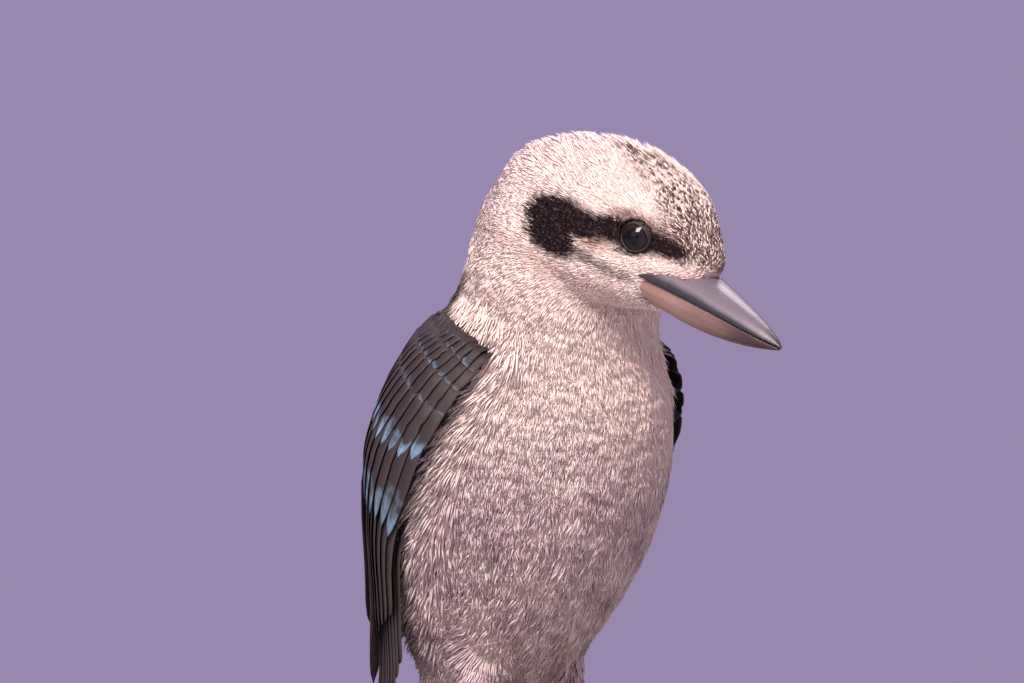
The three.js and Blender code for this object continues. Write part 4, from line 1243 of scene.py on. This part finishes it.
# %% Eyes
def eye_finish():
    finish = Finish("eye", roughness=0.1)
    finish.set(finish.shader, Specular_IOR_Level=0.22)
    radius = finish.attribute("off_axis")["Fac"]
    grain = finish.times(finish.minus(finish.noise(900), 0.5), 0.08)
    stops = [(0.36, (0.002, 0.002, 0.003)), (0.42, (0.012, 0.007, 0.008))]
    stops += [(0.58, (0.020, 0.011, 0.013)), (0.72, (0.004, 0.003, 0.004))]
    return finish.colour(finish.ramp(finish.plus(radius, grain), stops))


def lid_finish():
    finish = Finish("lid_skin", roughness=0.6)
    wrinkles = finish.noise(1400, detail=4)
    finish.bump(wrinkles, 0.6, 0.3)
    return finish.colour(finish.ramp(wrinkles, [(0.3, (0.012, 0.007, 0.009)), (0.75, (0.040, 0.022, 0.024))]))


eye_material = eye_finish()
lid_material = lid_finish()
for name, side in SIDES.items():
    facing = eye_facing(side)
    turned = Vector(facing).to_track_quat("Z", "Y").to_euler()
    place = to_scene(eye_centre(side))
    bpy.ops.object.select_all(action="DESELECT")
    bpy.ops.mesh.primitive_uv_sphere_add(
        segments=64, ring_count=40, radius=EYE_RADIUS * MM, location=place, rotation=turned
    )
    eye = bpy.context.object
    eye.name = f"eyeball_{name}"
    bpy.ops.object.transform_apply(location=True, rotation=True, scale=True)
    away = to_bird(points_of(eye)) - eye_centre(side)
    ahead = away @ facing
    off_axis = np.linalg.norm(away - ahead[:, None] * facing, axis=1)
    bulge = 0.35 * smooth_step(5.4, 2.0, off_axis) * (ahead > 0)
    move_points(eye, to_scene(eye_centre(side) + away + facing * bulge[:, None]))
    note(eye, "off_axis", np.where(ahead > 0, off_axis / EYE_RADIUS, 1))
    shade_smooth(eye)
    finish_piece(eye, eye_material, (f"eye_{name}",))

# How far out of the opening's rim, and how high over the ball, each ring of a lid lies.
LID_OPEN = 5.5
LID_PROFILE = (
    [(-0.5, -0.6), (0, 0.02), (0.1, 0.22), (0.3, 0.32), (0.5, 0.26), (0.7, 0.12)]
    + [(0.95, 0.16), (1.2, 0.06), (1.7, -0.5), (2.3, -1.6)]
)


def lids(name, side):
    """Skin folds round the eye: they start on the ball, roll over its edge and sink into the face."""
    facing = eye_facing(side)
    fore = unit(HEAD_FORWARD - facing * (HEAD_FORWARD @ facing))
    rise = np.cross(facing, fore) * side
    around = 96
    angle = np.arange(around) / around * 2 * np.pi
    corner = 1 + 0.13 * np.abs(np.cos(angle)) ** 5
    lid = 0.95 - 0.07 * np.maximum(np.sin(angle), 0) ** 2
    opening = LID_OPEN * corner * lid
    rings = []
    for step, (out, height) in enumerate(LID_PROFILE):
        wrinkle = 0.06 * np.sin(angle * 23 + step) * (step > 2)
        radius = opening + out
        ball = np.sqrt(np.maximum(EYE_RADIUS**2 - np.minimum(radius, 7.2) ** 2, 0)) + 0.12
        radial = np.cos(angle)[:, None] * fore + np.sin(angle)[:, None] * rise
        above = (ball + height + wrinkle)[:, None]
        rings.append(eye_centre(side) + radial * radius[:, None] + facing * above)
    under = [ring - facing * 1.1 for ring in rings[::-1]]
    rings = np.array(rings + under)
    number = len(rings)
    at = np.arange(number * around).reshape(number, around)
    ahead, beside = np.roll(at, -1, axis=0), np.roll(at, -1, axis=1)
    faces = np.stack([at, beside, np.roll(ahead, -1, axis=1), ahead], axis=-1).reshape(-1, 4)
    made = mesh_from(name, to_scene(rings.reshape(-1, 3)), faces)
    turn_out(made)
    return made


for name, side in SIDES.items():
    finish_piece(lids(f"lids_{name}", side), lid_material)

# %% [markdown]
# Feet grip the perch: two front toes are joined for part of their length, as a kingfisher's are. The packed
# feet are remeshed and smoothed. Scutes run across the toes as bump that follows the angle round
# the perch.

# %% Feet
FOOT_VOXEL = 0.5
SCUTE_PITCH = 1 / 9.5


def foot_finish():
    finish = Finish("foot_skin", roughness=0.62)
    coordinates = finish.add("SeparateXYZ", Vector=finish.place()).outputs
    height = finish.minus(coordinates["Z"], (PERCH_TOP - PERCH_RADIUS) * MM)
    angle = finish.math("ARCTAN2", height, coordinates["X"])
    scutes = finish.wave(angle, SCUTE_PITCH)
    scales = finish.add("TexVoronoi", Vector=finish.place(), Scale=900.0).outputs["Distance"]
    finish.bump(finish.plus(finish.times(scutes, 0.5), scales), 0.6, 0.45)
    tone = finish.plus(finish.times(scales, 0.9), finish.noise(150))
    return finish.colour(finish.ramp(tone, [(0.3, (0.085, 0.075, 0.060)), (0.95, (0.24, 0.215, 0.165))]))


foot_material = foot_finish()
for name in SIDES:
    foot = copy_of(f"foot_{name}_skin", f"foot_{name}")
    refine(foot, FOOT_VOXEL, 6)
    shade_smooth(foot)
    finish_piece(foot, foot_material, (f"foot_{name}",))

# %% [markdown]
# Claws are kept apart from the feet, as horn is another stuff than skin. Each starts as a small disc,
# which is extruded along the claw's arc and shrunk a little more at every step, down to a point.

# %% Claws
FOOT_SPREAD = 21.0
# Each toe's tip: how far out, its angle round the perch, the angle it comes from, and its radius.
TOE_TIPS = [(-9.5, 30, 84, 2.5), (-1.0, 4, 88, 2.9), (6.2, 14, 84, 2.6), (-4.5, 148, 92, 2.8)]
CLAW_TURN = 22.0
CLAW_ARC = track([[-0.25, 0.5], [0.1, 1.5], [0.4, 2.1], [0.75, 1.2], [1.02, -1.2]])
CLAW_RADII = [1.9, 2.0, 1.85, 1.5, 1.1, 0.7, 0.32, 0.08]


def around_perch(angle, height, sideways):
    turned = np.radians(angle)
    radius = PERCH_RADIUS + height
    return np.array([np.cos(turned) * radius, sideways, -PERCH_RADIUS + np.sin(turned) * radius])


def claw(side, tip_out, tip_angle, from_angle, toe_radius):
    """A curved spike: rings along the claw's arc, each smaller than the one before."""
    turn = CLAW_TURN * np.sign(tip_angle - from_angle)
    shares = np.linspace(-0.2, 1, len(CLAW_RADII))
    heights = toe_radius + CLAW_ARC(shares)[:, 0]
    out = side * (FOOT_SPREAD + tip_out)
    angles = tip_angle + turn * shares
    line = np.array([around_perch(angle, height, out) for angle, height in zip(angles, heights)])
    start = Vector(to_scene(line[0]))
    first = Vector(line[1] - line[0]).normalized()
    bpy.ops.object.select_all(action="DESELECT")
    bpy.ops.mesh.primitive_circle_add(
        vertices=12,
        radius=CLAW_RADII[0] * MM,
        fill_type="NGON",
        location=start,
        rotation=first.to_track_quat("Z", "Y").to_euler(),
    )
    made = bpy.context.object
    bpy.ops.object.transform_apply(location=True, rotation=True, scale=True)
    bpy.ops.object.mode_set(mode="EDIT")
    bpy.ops.mesh.select_all(action="SELECT")
    for index in range(1, len(line)):
        step = Vector((line[index] - line[index - 1]) * MM)
        bpy.ops.mesh.extrude_region_move(TRANSFORM_OT_translate={"value": step})
        shrink = CLAW_RADII[index] / CLAW_RADII[index - 1]
        bpy.ops.transform.resize(value=(shrink,) * 3, center_override=Vector(to_scene(line[index])))
    bpy.ops.object.mode_set(mode="OBJECT")
    turn_out(made)
    return made


claw_horn = Finish("claw_horn", roughness=0.35)
claw_grain = claw_horn.noise(500, detail=4)
claw_tones = [(0.3, (0.020, 0.015, 0.014)), (0.8, (0.075, 0.058, 0.050))]
claw_material = claw_horn.colour(claw_horn.ramp(claw_grain, claw_tones))
for name, side in SIDES.items():
    claws = [claw(side, *toe) for toe in TOE_TIPS]
    only(*claws)
    bpy.ops.object.join()
    claws = bpy.context.object
    claws.name = f"claws_{name}"
    modify(claws, "SUBSURF", levels=1, render_levels=1)
    shade_smooth(claws)
    finish_piece(claws, claw_material)

# %% [markdown]
# The perch is a weathered gum branch: grey, with long cracks and shallow swellings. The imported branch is
# remeshed and its points are pushed in and out by noise that is stretched along the grain. Its cut ends
# stay flat, and show growth rings about a heart that lies off the middle.

# %% Perch
PERCH_VOXEL = 0.9
PERCH_HALF = 83.0
CRACK_DEPTH = 0.9
RING_PITCH = 2.1
HEART_OFFSET = 2.5


def wood_finish(name, dark, pale, grain_scale, stretch, roughness, depth):
    finish = Finish(name, roughness=roughness)
    grain = finish.noise(grain_scale, detail=6, stretch=stretch)
    blotch = finish.noise(25, detail=3)
    tone = finish.plus(finish.times(grain, 0.75), finish.times(blotch, 0.3))
    shade = finish.ramp(tone, [(0.34, dark), (0.68, pale)])
    finish.bump(grain, 0.7, depth)
    return finish, shade


perch = copy_of("perch_wood", "perch")
refine(perch, PERCH_VOXEL, 14)
places = to_bird(points_of(perch))
directions = normals_of(perch)
push = np.empty(len(places))
for index, (x, y, z) in enumerate(places):
    ridge = abs(noise.noise(Vector((x * 0.22, y * 0.022, z * 0.22))))
    fine = noise.noise(Vector((x * 0.7, y * 0.06, z * 0.7)))
    push[index] = -CRACK_DEPTH * max(0.0, 1 - ridge * 9) + 0.25 * fine
flat_end = smooth_step(PERCH_HALF + 0.2, PERCH_HALF - 1, np.abs(places[:, 1]))
move_points(perch, to_scene(places + directions * (push * flat_end)[:, None]))
shade_smooth(perch)
weathered, weathered_shade = wood_finish(
    "weathered_wood", (0.11, 0.085, 0.078), (0.43, 0.36, 0.335), 190, (1, 0.06, 1), 0.85, 0.7
)
note(perch, "cut", np.abs(places[:, 1]) > PERCH_HALF)
centre_offset = np.stack([places[:, 0] - HEART_OFFSET, places[:, 2] + PERCH_RADIUS], axis=1)
note(perch, "ring", np.linalg.norm(centre_offset, axis=1) / RING_PITCH)
wobble = weathered.times(weathered.noise(120, detail=3), 1.6)
rings = weathered.plus(weathered.attribute("ring")["Fac"], wobble)
rings = weathered.plus(weathered.times(weathered.wave(rings, 1), 0.3), weathered.noise(400, detail=5))
end_grain = weathered.ramp(rings, [(0.25, (0.24, 0.165, 0.115)), (0.8, (0.58, 0.46, 0.36))])
weathered_shade = weathered.blend(weathered.attribute("cut")["Fac"], weathered_shade, end_grain)
finish_piece(perch, weathered.colour(weathered_shade), ("perch",))

# %% [markdown]
# The stand is turned wood with two metal rods. The base is one cylinder, with its rim bevelled and a
# groove turned in its top. The rods keep their packed form and only need a brushed finish.

# %% Stand
BASE_RADIUS, BASE_THICK = 88.0, 18.0
BASE_BORDER = 7.0
GROOVE_WIDTH, GROOVE_DEPTH = 1.2, 1.6
RIM_BEVEL = 1.6
bpy.ops.object.select_all(action="DESELECT")
bpy.ops.mesh.primitive_cylinder_add(
    vertices=160, radius=BASE_RADIUS * MM, depth=BASE_THICK * MM, location=(0, 0, BASE_THICK / 2 * MM)
)
base = bpy.context.object
base.name = "base_turned"
bpy.ops.object.transform_apply(location=True)
bpy.ops.object.mode_set(mode="EDIT")
bpy.ops.mesh.select_all(action="DESELECT")
bpy.ops.object.mode_set(mode="OBJECT")
top = max(base.data.polygons, key=lambda face: face.center.z)
top.select = True
bpy.ops.object.mode_set(mode="EDIT")
bpy.ops.mesh.select_mode(type="FACE")
bpy.ops.mesh.inset(thickness=BASE_BORDER * MM)
bpy.ops.mesh.inset(thickness=GROOVE_WIDTH * MM, depth=-GROOVE_DEPTH * MM)
bpy.ops.mesh.inset(thickness=GROOVE_WIDTH * MM, depth=GROOVE_DEPTH * MM)
bpy.ops.object.mode_set(mode="OBJECT")
modify(base, "BEVEL", width=RIM_BEVEL * MM, segments=4, limit_method="ANGLE", angle_limit=math.radians(40))
only(base)
bpy.ops.object.shade_smooth_by_angle(angle=math.radians(35))
polished, polished_shade = wood_finish(
    "polished_wood", (0.030, 0.014, 0.009), (0.105, 0.050, 0.030), 30, (0.12, 1, 1), 0.35, 0.08
)
finish_piece(base, polished.colour(polished_shade), ("stand_base",))

brushed = Finish("brushed_metal", roughness=0.32, Metallic=1.0)
fine_lines = brushed.noise(900, stretch=(1, 1, 0.02))
brushed.bump(fine_lines, 0.2, 0.1)
steel_tones = [(0.3, (0.42, 0.38, 0.33)), (0.7, (0.62, 0.57, 0.50))]
rod_material = brushed.colour(brushed.ramp(fine_lines, steel_tones))
for name in SIDES:
    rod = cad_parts[f"stand_rod_{name}"]
    rod.data.materials.clear()
    rod.data.materials.append(rod_material)
